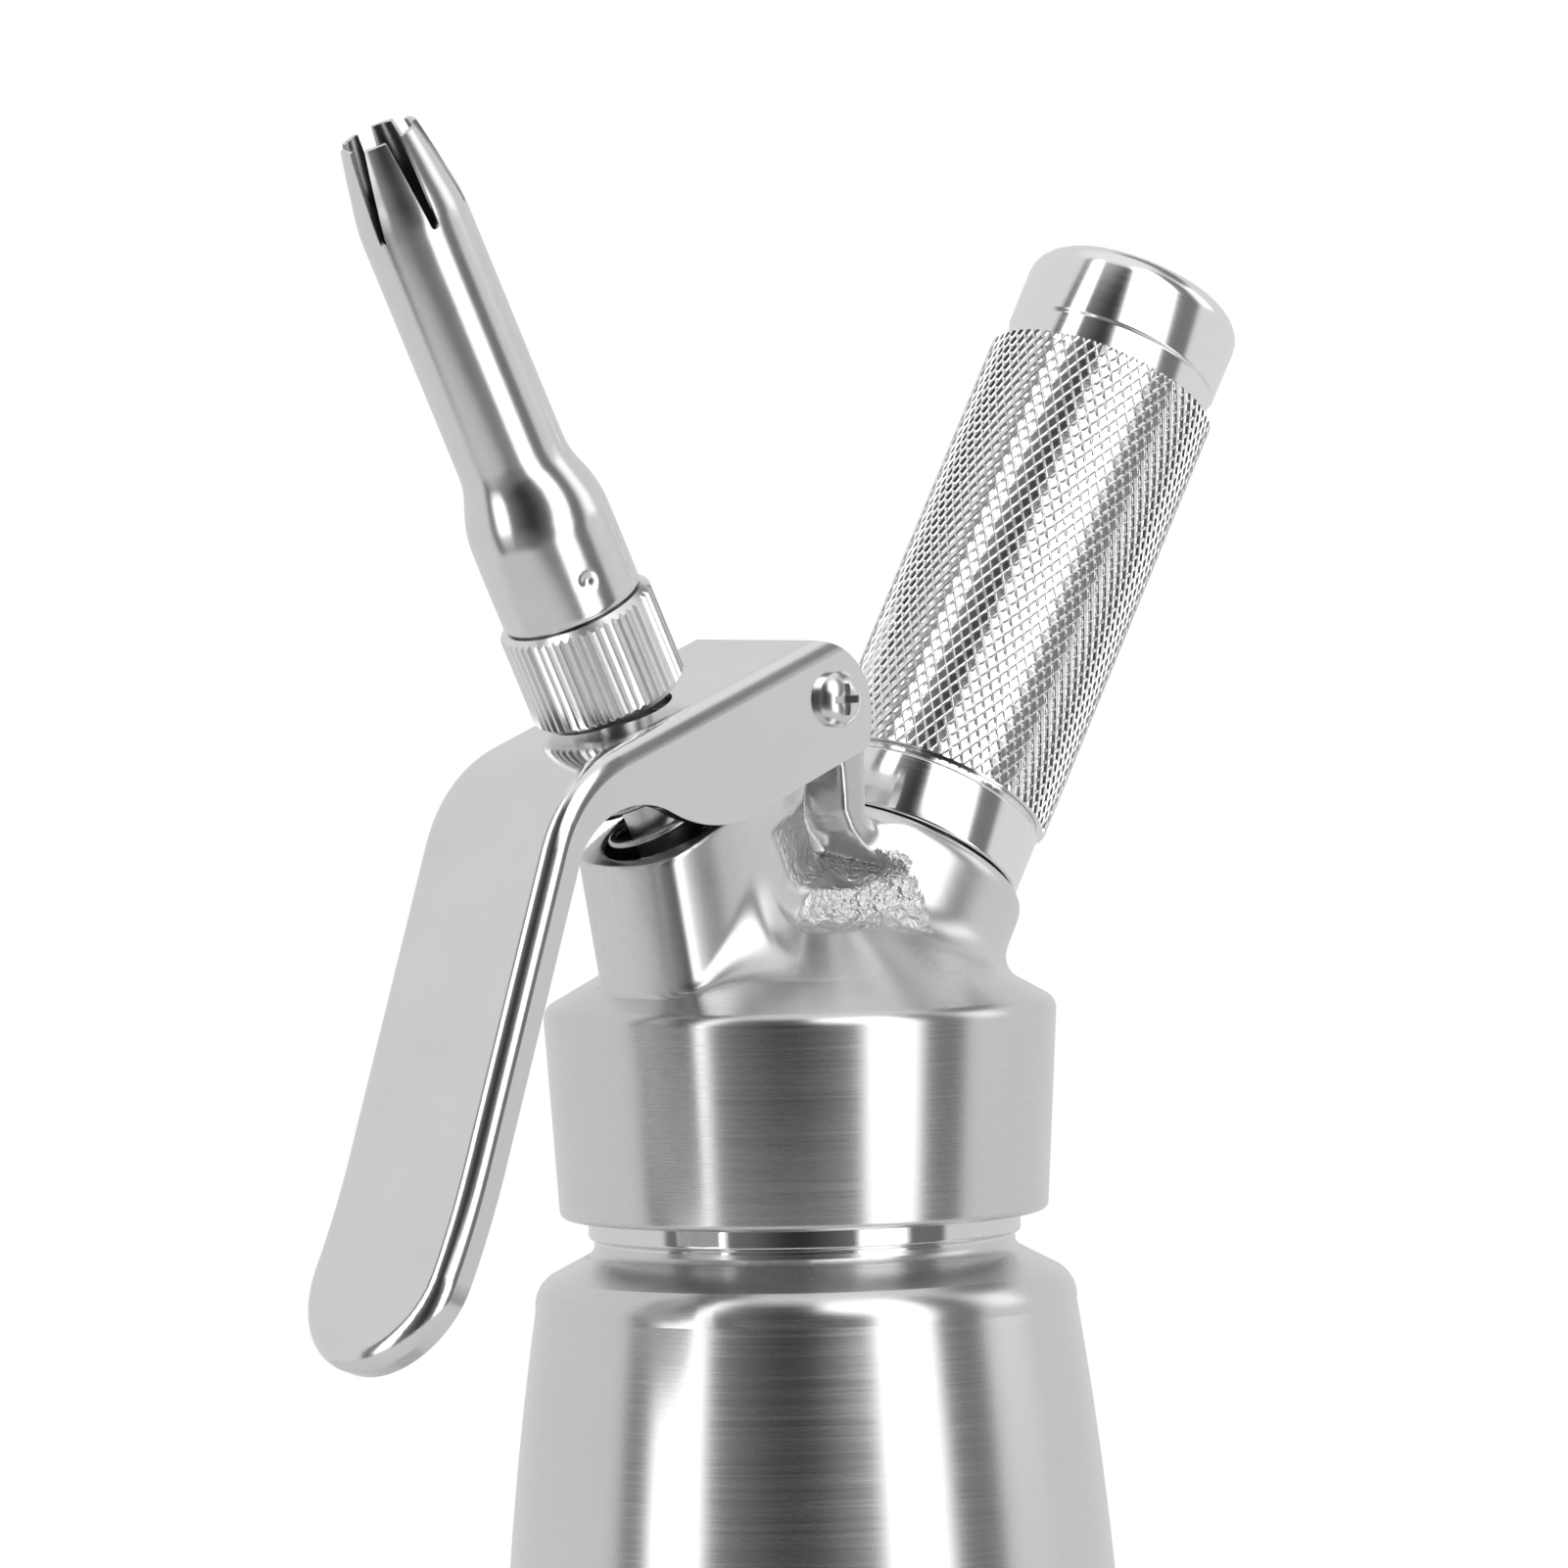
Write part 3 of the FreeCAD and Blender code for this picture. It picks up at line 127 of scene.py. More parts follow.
# %% Wires
class Wire:
    """One output socket; sums and products of wires add Math nodes."""

    def __init__(self, tree, socket=None):
        self.tree = tree
        self.socket = socket

    def node(self, kind, settings=(), sockets=(), out=0):
        """Add a node, set it up, feed its sockets and return one of its outputs."""
        made = self.tree.nodes.new(kind)
        for key, value in dict(settings).items():
            setattr(made, key, value)
        for key, value in dict(sockets).items():
            if isinstance(value, Wire):
                self.tree.links.new(value.socket, made.inputs[key])
            else:
                made.inputs[key].default_value = value
        return Wire(self.tree, made.outputs[out] if len(made.outputs) else None)

    def maths(self, operation, *values):
        return self.node("ShaderNodeMath", {"operation": operation}, enumerate(values))

    def __add__(self, other):
        return self.maths("ADD", self, other)

    def __sub__(self, other):
        return self.maths("SUBTRACT", self, other)

    def __rsub__(self, other):
        return self.maths("SUBTRACT", other, self)

    def __mul__(self, other):
        return self.maths("MULTIPLY", self, other)

    def __truediv__(self, other):
        return self.maths("DIVIDE", self, other)

    __radd__ = __add__
    __rmul__ = __mul__

    def over(self, low, high):
        """0 below low, 1 above high, and a soft step between."""
        sockets = {"Value": self, "From Min": low, "From Max": high}
        return self.node("ShaderNodeMapRange", {"interpolation_type": "SMOOTHSTEP"}, sockets)

    def between(self, low, low_full, high_full, high):
        """1 from low_full to high_full, falling softly to 0 at low and at high."""
        return self.over(low, low_full) * (1 - self.over(high_full, high))

    def parts(self):
        """The three numbers of a vector."""
        return [self.node("ShaderNodeSeparateXYZ", (), {0: self}, out=i) for i in range(3)]

    def vector(self, *numbers):
        return self.node("ShaderNodeCombineXYZ", (), enumerate(numbers))

    def noise(self, place, scale, detail=3.0, roughness=0.55):
        sockets = {"Vector": place, "Scale": scale, "Detail": detail, "Roughness": roughness}
        return self.node("ShaderNodeTexNoise", (), sockets)

    def blend(self, dark, light):
        """A grey that goes from dark to light as this wire goes from 0 to 1."""
        # The Mix node's colours are its sockets 6 and 7 and its output 2.
        sockets = {0: self, 6: grey(dark), 7: grey(light)}
        return self.node("ShaderNodeMix", {"data_type": "RGBA"}, sockets, out=2)


def grey(shade):
    return (shade, shade, shade, 1)


print("a middle grey is", grey(0.5))

# %% [markdown]
# ## Studio
#
# Polished and brushed steel has almost no colour of its own: what we see on it is
# the room. A product studio for steel is a white tent with dark gaps. It could be
# built from lamps and cards. Painted on the world as a function of direction, each
# panel is one short line instead. A direction is an angle in degrees from the
# camera, plus to its right, and a z from -1, down, to 1, up.
#
# The tent is pale grey, with a small bright panel on the right and a dark gap high
# behind it. The wall on the camera's side is dark and carries two tall white
# panels. The left one fades out low down, and the right one leans in high up. The
# camera itself sees plain white.

# %% The room around the dispenser
def add_room():
    world = bpy.data.worlds.new("studio_tent")
    bpy.context.scene.world = world
    world.use_nodes = True
    world.node_tree.nodes.clear()
    room = Wire(world.node_tree)
    x, y, z = room.node("ShaderNodeTexCoord", out="Generated").parts()
    aside = x * level_right.x + y * level_right.y
    facing = x * math.sin(AZIMUTH) - y * math.cos(AZIMUTH)
    angle = room.maths("ARCTAN2", aside, facing) * (180 / math.pi)

    lean = 22 * z.over(0.25, 0.6)
    low = 1 - z.over(-0.55, -0.2)
    left_panel = angle.between(-68.5, -63.5, -45.5, -40.5) * (2.0 - 1.75 * low)
    right_panel = angle.between(25.5 - lean, 32.5 - lean, 52.5, 59.5) * 1.8
    centre = angle.between(-47, -35, 18 - lean, 30 - lean)
    off_centre = room.maths("ABSOLUTE", angle + 4).over(2, 34)
    wall = centre * (0.035 + 0.12 * off_centre + 0.13 * low) + (1 - centre) * 0.17

    gap = z.between(0.56, 0.68, 0.84, 0.9) * angle.between(92, 104, 160, 176)
    near_panel = z.between(0.1, 0.25, 0.55, 0.7) * angle.between(84, 90, 104, 112)
    tent = 0.72 - 0.52 * gap + 0.6 * near_panel

    front = angle.between(-82.5, -77.5, 77.5, 82.5)
    glow = (1 - front) * tent + front * (wall + left_panel + right_panel)
    top = z.over(0.78, 0.95)
    floor = 1 - z.over(-0.92, -0.72)
    light = glow * (1 - top) * (1 - floor) + top * 0.85 + floor * 0.6
    seen = room.node("ShaderNodeLightPath", out="Is Camera Ray")
    sockets = {"Color": grey(1.0), "Strength": seen + (1 - seen) * light}
    background = room.node("ShaderNodeBackground", (), sockets)
    room.node("ShaderNodeOutputWorld", (), {"Surface": background})


add_room()
bpy.context.scene.view_settings.view_transform = "Standard"
print("studio tent is up")

# %% [markdown]
# ## Making a finish
#
# Every finish begins as an empty material and ends with a shader. Between the two
# it needs to know where on its piece a point lies, in millimetres, so that the
# metal's grain has its real size. These helpers do that, for all finishes alike.

# %% Helpers for finishes
def new_finish(name):
    """A new empty material and a wire to draw its nodes with."""
    surface = bpy.data.materials.new(name)
    surface.use_nodes = True
    surface.node_tree.nodes.clear()
    return surface, Wire(surface.node_tree)


def in_mm(paint):
    """The point's place on its piece, in millimetres."""
    place = paint.node("ShaderNodeTexCoord", out="Object")
    return paint.node("ShaderNodeVectorMath", {"operation": "SCALE"}, {0: place, "Scale": 1 / MM})


def shaded(paint, colour, roughness, metal=1, bump=None, depth=0.0, **more):
    """The shader; other numbers go on the sockets they name."""
    sockets = {"Base Color": colour, "Roughness": roughness, "Metallic": metal}
    if bump is not None:
        relief = {"Strength": 1.0, "Distance": depth * MM, "Height": bump}
        sockets["Normal"] = paint.node("ShaderNodeBump", (), relief)
    sockets.update({name.replace("_", " "): value for name, value in more.items()})
    return paint.node("ShaderNodeBsdfPrincipled", (), sockets)


def close_finish(paint, shader):
    paint.node("ShaderNodeOutputMaterial", (), {"Surface": shader})


# %% [markdown]
# ## Table
#
# The dispenser stands on a round table top, pale and matt. Its faint mottle
# keeps it from looking like plain paint. The underside of the slanted nozzle
# mirrors it, so it is wide, and a disc: a square would put a corner in that mirror.

# %% The table top
def add_table(radius):
    mesh = bpy.data.meshes.new("table_top")
    form = bmesh.new()
    bmesh.ops.create_circle(form, cap_ends=True, radius=radius * MM, segments=128)
    form.to_mesh(mesh)
    form.free()
    table = bpy.data.objects.new("table_top", mesh)
    bpy.context.scene.collection.objects.link(table)
    table.location.z = -0.02 * MM
    surface, paint = new_finish("pale_table")
    mottle = paint.noise(in_mm(paint), 0.02)
    close_finish(paint, shaded(paint, mottle.blend(0.78, 0.84), 0.7 + 0.1 * mottle, metal=0))
    mesh.materials.append(surface)
    return table


table = add_table(radius=335.0)
print("table top is", table.dimensions.x, "m across")

# %% [markdown]
# ## Brushed and turned steel
#
# Bottle and skirt are brushed while they turn in a lathe, so the scratches run
# round them and the light smears along the axis. A picture of scratches would show
# a seam where it closes, and noise has none. So the finish needs three things:
# noise squeezed along the axis into fine rings, a shader with anisotropy, and a
# piece whose own Z is its axis, because the shader's tangent runs round that Z.

# %% Turned steel
def ring_scratches(paint, fine):
    """Noise drawn out into rings round the piece's own Z."""
    x, y, z = in_mm(paint).parts()
    radius = paint.maths("SQRT", x * x + y * y) + 0.001
    place = paint.vector(x / radius, y / radius, (z + radius * 0.6) * fine)
    return paint.noise(place, 1.0, detail=4.0, roughness=0.65)


def turned_steel(name, shade, roughness, smear, fine, depth):
    surface, paint = new_finish(name)
    rings = ring_scratches(paint, fine)
    cloud = paint.noise(in_mm(paint), 0.06, detail=2.0)
    colour = (0.7 * rings + 0.3 * cloud).blend(shade - 0.07, shade + 0.05)
    dull = roughness + 0.16 * (rings - 0.5)
    close_finish(paint, shaded(paint, colour, dull, bump=rings, depth=depth,
                               Anisotropic=smear, Anisotropic_Rotation=0.25))
    return surface


bottle_steel = turned_steel("bottle_brushed", 0.74, 0.26, 0.72, fine=3.0, depth=0.005)
holder_steel = turned_steel("holder_turned", 0.92, 0.14, 0.6, fine=6.0, depth=0.003)
print("turned:", bottle_steel.name, holder_steel.name)

# %% [markdown]
# ## Polished steel
#
# A polishing wheel leaves no direction, only broad faint waves and a fine grain. A
# plain mirror would look too perfect, so two noises stir shade, roughness and bump.
# One recipe does for all polished parts: they differ in how light and how dull
# they are, and in how far apart the waves lie.

# %% Polished steel
def polished_steel(name, shade, roughness, mottle, depth=0.002):
    surface, paint = new_finish(name)
    place = in_mm(paint)
    waves = paint.noise(place, mottle, detail=2.0)
    grain = paint.noise(place, 6.0, detail=2.0)
    colour = waves.blend(shade - 0.04, shade + 0.03)
    dull = roughness + 0.05 * waves + 0.05 * (grain - 0.5)
    close_finish(paint, shaded(paint, colour, dull, bump=grain, depth=depth))
    return surface


bead_steel = polished_steel("neck_polished", 0.80, 0.05, mottle=0.35)
lever_steel = polished_steel("lever_polished", 0.83, 0.13, mottle=0.09, depth=0.003)
nozzle_steel = polished_steel("nozzle_polished", 0.78, 0.15, mottle=0.3, depth=0.006)
nickel = polished_steel("nut_nickel", 0.88, 0.21, mottle=0.6)
screw_steel = polished_steel("screw_bright", 0.80, 0.20, mottle=1.2)
spring_steel = polished_steel("spring_drawn", 0.55, 0.25, mottle=1.5)
grip_nickel = polished_steel("grip_bright", 0.96, 0.10, mottle=0.8)
charger_steel = polished_steel("charger_zinc", 0.62, 0.3, mottle=0.4)
inner_steel = polished_steel("inner_turned", 0.66, 0.28, mottle=0.9)
print("polished:", bead_steel.name, "to", inner_steel.name)

# %% [markdown]
# ## Cast steel
#
# The head was cast and then partly turned, so it shows both kinds of metal. Two
# materials could do that, but the border between them runs across the mesh's faces.
# So one material finds the turned part from the point's place: it lies on the cone
# or below it. Where the mould's rough skin was left, the mesh carries a mark of its
# own, named rough_cast, and the finish reads it. A Mix Shader joins the lathe's
# rings and the satin casting.

# %% Cast steel
SKIRT_RADIUS = 31.0
CONE_OUT, CONE_UP = 0.495, 0.869


def above_cone(radius, z):
    """Distance above the turned cone, which begins at the skirt's upper edge."""
    return CONE_OUT * (radius - SKIRT_RADIUS) + CONE_UP * z


def cast_steel(name):
    surface, paint = new_finish(name)
    place = in_mm(paint)
    x, y, z = place.parts()
    off_cone = paint.maths("ABSOLUTE", above_cone(paint.maths("SQRT", x * x + y * y), z))
    turned_part = 1 - off_cone.over(0.15, 0.5) * z.over(-0.5, 0.5)
    rough = paint.node("ShaderNodeAttribute", {"attribute_name": "rough_cast"}, out="Fac")

    rings = ring_scratches(paint, 3.5)
    lathe = shaded(paint, rings.blend(0.66, 0.76), 0.27 + 0.16 * (rings - 0.5), bump=rings,
                   depth=0.004, Anisotropic=0.75, Anisotropic_Rotation=0.25)

    cloud = paint.noise(place, 0.11, detail=3.0)
    strokes = paint.noise(paint.vector(x * 0.9, y * 0.9, (z - 0.5 * x) * 6), 1.0)
    pits = paint.noise(place, 1.15, detail=2.5, roughness=0.5)
    satin = shaded(paint, (0.5 * cloud + 0.5 * pits).blend(0.66, 0.84),
                   0.24 + 0.10 * cloud + 0.12 * rough,
                   bump=strokes * 0.012 * (1 - rough) + pits * rough, depth=0.6)

    shaders = {0: turned_part * (1 - rough), 1: satin, 2: lathe}
    close_finish(paint, paint.node("ShaderNodeMixShader", (), shaders))
    return surface


head_steel = cast_steel("head_cast_and_turned")
print("cast:", head_steel.name)

# %% [markdown]
# ## Rubber
#
# The seals are moulded silicone and rubber, and sit inside. They are matt, so
# nothing is mirrored in them, and a fine grain in the bump is enough.

# %% Rubber
def soft_rubber(name, shade):
    surface, paint = new_finish(name)
    grain = paint.noise(in_mm(paint), 4.0)
    colour = grain.blend(shade * 0.85, shade)
    dull = 0.55 + 0.15 * grain
    close_finish(paint, shaded(paint, colour, dull, metal=0, bump=grain, depth=0.02))
    return surface


seal_silicone = soft_rubber("seal_silicone", 0.42)
valve_rubber = soft_rubber("valve_rubber", 0.06)
print("finishes:", len(bpy.data.materials))

# %% [markdown]
# ## Finishes for the CAD parts
#
# Each CAD part has one material slot. Putting a finish in that slot is all it
# takes, and the mesh stays as it came. Parts made again below get theirs too.

# %% Dress the CAD parts
PARTS_IN = {
    bottle_steel: ["bottle"],
    bead_steel: ["neck_ring"],
    head_steel: ["head"],
    lever_steel: ["lever"],
    screw_steel: ["pivot_screw", "pivot_sleeve"],
    nickel: ["adaptor_nut", "nozzle_insert"],
    nozzle_steel: ["nozzle"],
    spring_steel: ["valve_spring"],
    holder_steel: ["holder_tube", "holder_cap"],
    grip_nickel: ["grip_sleeve"],
    charger_steel: ["gas_charger"],
    inner_steel: ["valve_stem", "valve_nut", "charger_nipple", "piercing_pin"],
    seal_silicone: ["head_gasket", "nozzle_seal"],
    valve_rubber: ["stem_o_ring", "valve_disc", "charger_seal", "check_valve"],
}
for finish, names in PARTS_IN.items():
    for name in names:
        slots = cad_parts[name].data.materials
        slots.clear()
        slots.append(finish)
print("dressed the CAD parts in", len(PARTS_IN), "finishes")

# %% [markdown]
# ## Making a piece
#
# A new piece is a mesh that is stood on its axis and rides on the body it belongs
# to, and it hides the CAD part it stands for. Edges sharper than an angle stay
# crisp, all others are shaded smooth.

# %% From points to a piece
def add_piece(name, points, faces, place, body, finish, *replaced, sharp=32.0):
    """A mesh from points in millimetres, stood in its place and riding on a body."""
    mesh = bpy.data.meshes.new(name)
    mesh.from_pydata([[x * MM for x in point] for point in points], [], faces)
    form = bmesh.new()
    form.from_mesh(mesh)
    bmesh.ops.remove_doubles(form, verts=form.verts, dist=1e-7)
    bmesh.ops.recalc_face_normals(form, faces=form.faces)
    form.to_mesh(mesh)
    form.free()
    mesh.shade_smooth()
    mesh.set_sharp_from_angle(angle=math.radians(sharp))
    mesh.materials.append(finish)
    piece = bpy.data.objects.new(name, mesh)
    bpy.context.scene.collection.objects.link(piece)
    piece.matrix_world = place
    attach(piece, body)
    if replaced:
        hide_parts(*replaced)
    print(name, "has", len(mesh.vertices), "points")
    return piece


# %% [markdown]
# ## Turned pieces
#
# Most parts of a dispenser are turned on a lathe, and in code that is a closed
# outline of (radius, height) points swept round Z. Blender can spin an outline too,
# but a sweep of our own lets a corner carry its rounding as a third number, so that
# an outline reads like a drawing.

# %% Helpers for turned pieces
def rounded(corners, steps=6):
    """A closed outline; a corner's third number is the radius that rounds it."""
    points = []
    for index, corner in enumerate(corners):
        here = Vector(corner[:2])
        if len(corner) == 2:
            points.append(tuple(here))
            continue
        radius = corner[2]
        back = (Vector(corners[index - 1][:2]) - here).normalized()
        on = (Vector(corners[(index + 1) % len(corners)][:2]) - here).normalized()
        half = back.angle(on) / 2
        centre = here + (back + on).normalized() * (radius / math.sin(half))
        start = here + back * (radius / math.tan(half)) - centre
        end = here + on * (radius / math.tan(half)) - centre
        for step in range(steps + 1):
            points.append(tuple(centre + start.slerp(end, step / steps) * radius))
    return points


def turned(name, corners, place, body, finish, *replaced, steps=160):
    """Sweep a closed outline of (radius, height) corners round Z."""
    outline = rounded(corners)
    turns = [2 * math.pi * step / steps for step in range(steps)]
    points = [(r * math.cos(t), r * math.sin(t), z) for t in turns for r, z in outline]
    count = len(outline)
    faces = []
    for step in range(steps):
        here, there = step * count, (step + 1) % steps * count
        for i in range(count):
            j = (i + 1) % count
            faces.append((here + i, there + i, there + j, here + j))
    return add_piece(name, points, faces, place, body, finish, *replaced)


print("one rounded corner is", len(rounded([(0, 0, 0.5), (2, 0), (2, 2)])) - 2, "points")

# %% [markdown]
# ## Skirt
#
# The skirt is the screw cap under the head: brushed outside, threaded inside. It
# is a lathe part, so one outline gives its slightly flared side, its rounded
# shoulder, the outer half of the cone and the thread. A real thread climbs. Here it
# is four plain rings, as in the CAD, because it only shows with the head off.

# %% The skirt
THREAD_RADIUS, THREAD_CREST, THREAD_PITCH = 26.45, 25.4, 3.5
CASTING_FOOT = -2.4


def thread_outline(first, rings):
    """Rings that stand in for the thread, from the lowest one up."""
    outline = []
    for ring in range(rings):
        height = first + THREAD_PITCH * ring
        outline += [
            (THREAD_RADIUS, height - 0.9), (THREAD_CREST, height - 0.35),
            (THREAD_CREST, height + 0.35), (THREAD_RADIUS, height + 0.9),
        ]
    return outline


skirt_outline = [
    (27.4, -25.3), (29.45, -25.3, 0.9), (SKIRT_RADIUS, 0, 2.0), (23.9, 4.045),
    (23.9, CASTING_FOOT), (25.85, CASTING_FOOT), (25.85, -5.0), (THREAD_RADIUS, -5.0),
]
skirt_outline += thread_outline(-19.05, 4)[::-1] + [(THREAD_RADIUS, -24.3)]
turned("head_skirt", skirt_outline, upright, "head", head_steel, "head", steps=256)

# %% [markdown]
# ## Carving with distance fields
#
# The head is a casting: tower, lug and boss run into each other with soft fillets.
# Lathe outlines and boxes can't do that, so the head is carved instead. A distance
# field says for each point of a fine grid how far it is outside (plus) or inside
# (minus) the metal. Fields join with a minimum and cut with a maximum, and a
# blended minimum leaves a fillet.

# %% Joining and cutting fields
def ramp(value, low, high):
    """0 below low, 1 above high, smooth between."""
    share = np.clip((value - low) / (high - low), 0, 1)
    return share * share * (3 - 2 * share)


def blended(a, b, width):
    """Union of two fields with a fillet about as wide as width."""
    near = np.maximum(width - np.abs(a - b), 0) / width
    return np.minimum(a, b) - near * near * width / 4


def eased(a, b, width):
    """Intersection of two fields with a softened edge."""
    return -blended(-a, -b, width)


def edge_rounded(a, b, radius):
    """Intersection of two fields whose edge has a true radius."""
    a, b = a + radius, b + radius
    return np.minimum(np.maximum(a, b), 0) + np.hypot(np.maximum(a, 0), np.maximum(b, 0)) - radius


def outline_field(points, x, z):
    """Distance to a closed outline in the XZ plane, negative inside it."""
    shape = np.broadcast(x, z).shape
    nearest, inside = np.full(shape, 1e9), np.zeros(shape, bool)
    for (ax, az), (bx, bz) in zip(points, points[1:] + points[:1]):
        ex, ez = bx - ax, bz - az
        wx, wz = x - ax, z - az
        share = np.clip((wx * ex + wz * ez) / (ex * ex + ez * ez), 0, 1)
        nearest = np.minimum(nearest, (wx - ex * share) ** 2 + (wz - ez * share) ** 2)
        inside ^= ((az > z) != (bz > z)) & (wx < wz * ex / (ez or 1))
    return np.where(inside, -1, 1) * np.sqrt(nearest)


print("in a corner, a fillet 5 wide adds", -blended(0.0, 0.0, 5.0), "of metal")

# %% [markdown]
# ## A block to carve
#
# The fields are worked out on a block, a fine grid of points. Its x, y and z are
# thin arrays that numpy stretches to the whole grid when a formula joins them, so a
# field is written as if for a single point.

# %% The block
class Block:
    """A grid of points in millimetres, with x, y and z as arrays that broadcast."""

    def __init__(self, low, high, step):
        self.low, self.step = np.array(low, float), step
        counts = [int((b - a) / step) + 2 for a, b in zip(low, high)]
        lines = [a + step * np.arange(n) for a, n in zip(low, counts)]
        self.x, self.y, self.z = np.meshgrid(*lines, indexing="ij", sparse=True)


cube = Block(low=(-3, -3, -3), high=(3, 3, 3), step=0.5)
print("a block 6 wide in steps of 0.5 has", cube.x.size, "rows")

# %% [markdown]
# ## Skin of a field
#
# The skin is drawn where the field is zero. Marching cubes would leave many thin
# triangles. Here each grid cell that the surface crosses gets one point, the mean
# of its crossings, and each crossing joins the four cells round it to a face.

# %% From a field to a skin
def crossings_along(axis, field, total, hits):
    """Mark where the field changes sign along one axis, in the cells around it."""
    near = np.moveaxis(field, axis, 0)
    first, second = near[:-1, 1:-1, 1:-1], near[1:, 1:-1, 1:-1]
    where = np.argwhere((first < 0) != (second < 0))
    a, b = first[tuple(where.T)], second[tuple(where.T)]
    place = where + np.array([0.0, 1.0, 1.0])
    place[:, 0] += a / (a - b)
    back = np.argsort([axis] + [other for other in range(3) if other != axis])
    corners = []
    for i, j in ((0, 0), (1, 0), (1, 1), (0, 1)):
        index = (where + np.array([0, i, j]))[:, back]
        np.add.at(total, tuple(index.T), place[:, back])
        np.add.at(hits, tuple(index.T), 1)
        corners.append(index)
    return corners, a < 0, axis


def quads(number, corners, inside_first, axis):
    """Faces through the four cells round each crossing, facing outwards."""
    faces = np.stack([number[tuple(corner.T)] for corner in corners], -1)
    flip = inside_first == (axis == 1)
    faces[flip] = faces[flip][:, ::-1]
    return faces


def skin(block, field):
    """Points and faces of the surface where the field is zero."""
    field = np.where(np.abs(field) < 1e-6, 1e-6, field)
    total = np.zeros(tuple(n - 1 for n in field.shape) + (3,))
    hits = np.zeros(total.shape[:3])
    crossings = [crossings_along(axis, field, total, hits) for axis in range(3)]
    used = hits > 0
    number = np.cumsum(used).reshape(used.shape) - 1
    points = block.low + block.step * total[used] / hits[used][:, None]
    faces = np.concatenate([quads(number, *crossing) for crossing in crossings])
    return points, faces.tolist()


ball = np.sqrt(cube.x**2 + cube.y**2 + cube.z**2) - 2
points, faces = skin(cube, ball)
print("a ball of radius 2 gets", len(points), "points and", len(faces), "faces")

# %% [markdown]
# ## Reading a field
#
# Between the grid's points a field is read in linear steps. Its slope is the normal
# of the metal, and smoother than the normals that the mesh alone would give.

# %% Value and slope anywhere
def read(block, field, points):
    """Value of a sampled field at any points, in linear steps between samples."""
    place = (points - block.low) / block.step
    cell = np.floor(place).astype(int)
    share = place - cell
    value = 0
    for corner in np.ndindex(2, 2, 2):
        weight = np.prod(np.where(corner, share, 1 - share), axis=1)
        value = value + weight * field[tuple((cell + corner).T)]
    return value


def normals(block, field, points):
    slope = np.stack([read(block, part, points) for part in np.gradient(field)], -1)
    return slope / np.linalg.norm(slope, axis=1)[:, None]


print("2.5 above its middle the ball's field is", read(cube, ball, np.array([[0, 0, 2.5]]))[0])

# %% [markdown]
# ## Turned base and boss
#
# The head is cast in one piece, then turned: the skirt and the shallow cone above
# it are lathe work, everything that stands on the cone keeps its cast shape. On the
# right stands the charger's round boss, measured along its own leaning axis.

# %% Fields of the base and the boss
RIDGE_RADIUS, RIDGE_RISE = 14.5, 9.35
BOSS_TOP, BOSS_RADIUS = 19.7, 15.35


def along(axis_x, lean, block):
    """Distance along a leaning axis, and across it in the XZ plane."""
    lean = math.radians(lean)
    return ((block.x - axis_x) * math.sin(lean) + block.z * math.cos(lean),
            (block.x - axis_x) * math.cos(lean) - block.z * math.sin(lean))


def about(axis_x, lean, block):
    """Distance along a leaning axis, and radius about it."""
    rise, across = along(axis_x, lean, block)
    return rise, np.hypot(across, block.y)


def turned_base(block):
    """The cone, a hair lower under the skirt's own mesh, and the dish in its ridge."""
    radius = np.hypot(block.x, block.y)
    cone = above_cone(radius, block.z) + 0.05 * ramp(radius, 23.4, 24.4)
    dish = block.z - RIDGE_RISE + 0.07 * (RIDGE_RADIUS - radius)
    return np.maximum(np.maximum(cone, radius - 29.9), dish)


def boss(block):
    """The charger's boss, a little wider at its foot, with a rounded rim."""
    rise, radius = about(CHARGER_X, CHARGER_LEAN, block)
    return eased(radius - BOSS_RADIUS - 0.02 * (17 - rise), rise - BOSS_TOP, 2.6)


print("the boss is", 2 * BOSS_RADIUS, "mm across")

# %% [markdown]
# ## Valve tower
#
# On the left stands the valve's tower with its slanted top, and behind it a thick
# web that rises to the lever's pivot. Its front is bowed, with a facet at each
# corner, and its sides bulge, so no plain solid would do: every wall is a field of
# its own. The web's outline is measured from the pivot.

# %% Field of the tower
PIVOT_X, PIVOT_Z = -4.09, 36.97
TOWER_TOP = 25.0
SIDE = 9.5


def from_pivot(*points):
    return [(PIVOT_X + x, PIVOT_Z + z) for x, z in points]


def walls(block):
    """The tower's bowed front with a facet at each corner, and its bulging sides."""
    y = np.abs(block.y)
    behind_front = 0.98 * (block.x + 26.2) + 0.196 * block.z
    facet = 0.707 * (y - 7.3 - behind_front + 1.25)
    front = eased(block.y**2 / 54 - behind_front, facet, 1.0)
    from_middle = np.clip((behind_front - 9.0) / np.where(behind_front < 9.0, 6.5, 12.0), -1, 1)
    return front, y - SIDE + from_middle**2


def tower(block):
    """Valve tower and the web behind it, with flat sides and a slanted top."""
    rise, across = along(VALVE_X, VALVE_LEAN, block)
    front, sides = walls(block)
    column = np.maximum(front, across - 8.5)
    web = outline_field(from_pivot(
        (-16.0, -13.0), (-5.5, -6.5), (7.0, -6.5), (7.0, -14.0), (8.5, -16.0), (11.3, -17.8),
        (14.0, -27.0), (14.0, -40.0), (-18.0, -40.0),
    ), block.x, block.z)
    body = eased(np.minimum(column, web), sides, 0.5)
    return np.maximum(body, rise - TOWER_TOP - 9.0 * ramp(across, 8.0, 9.5))


print("the lever's pivot is", round(HEAD_RISE + PIVOT_Z, 2), "mm above the table")

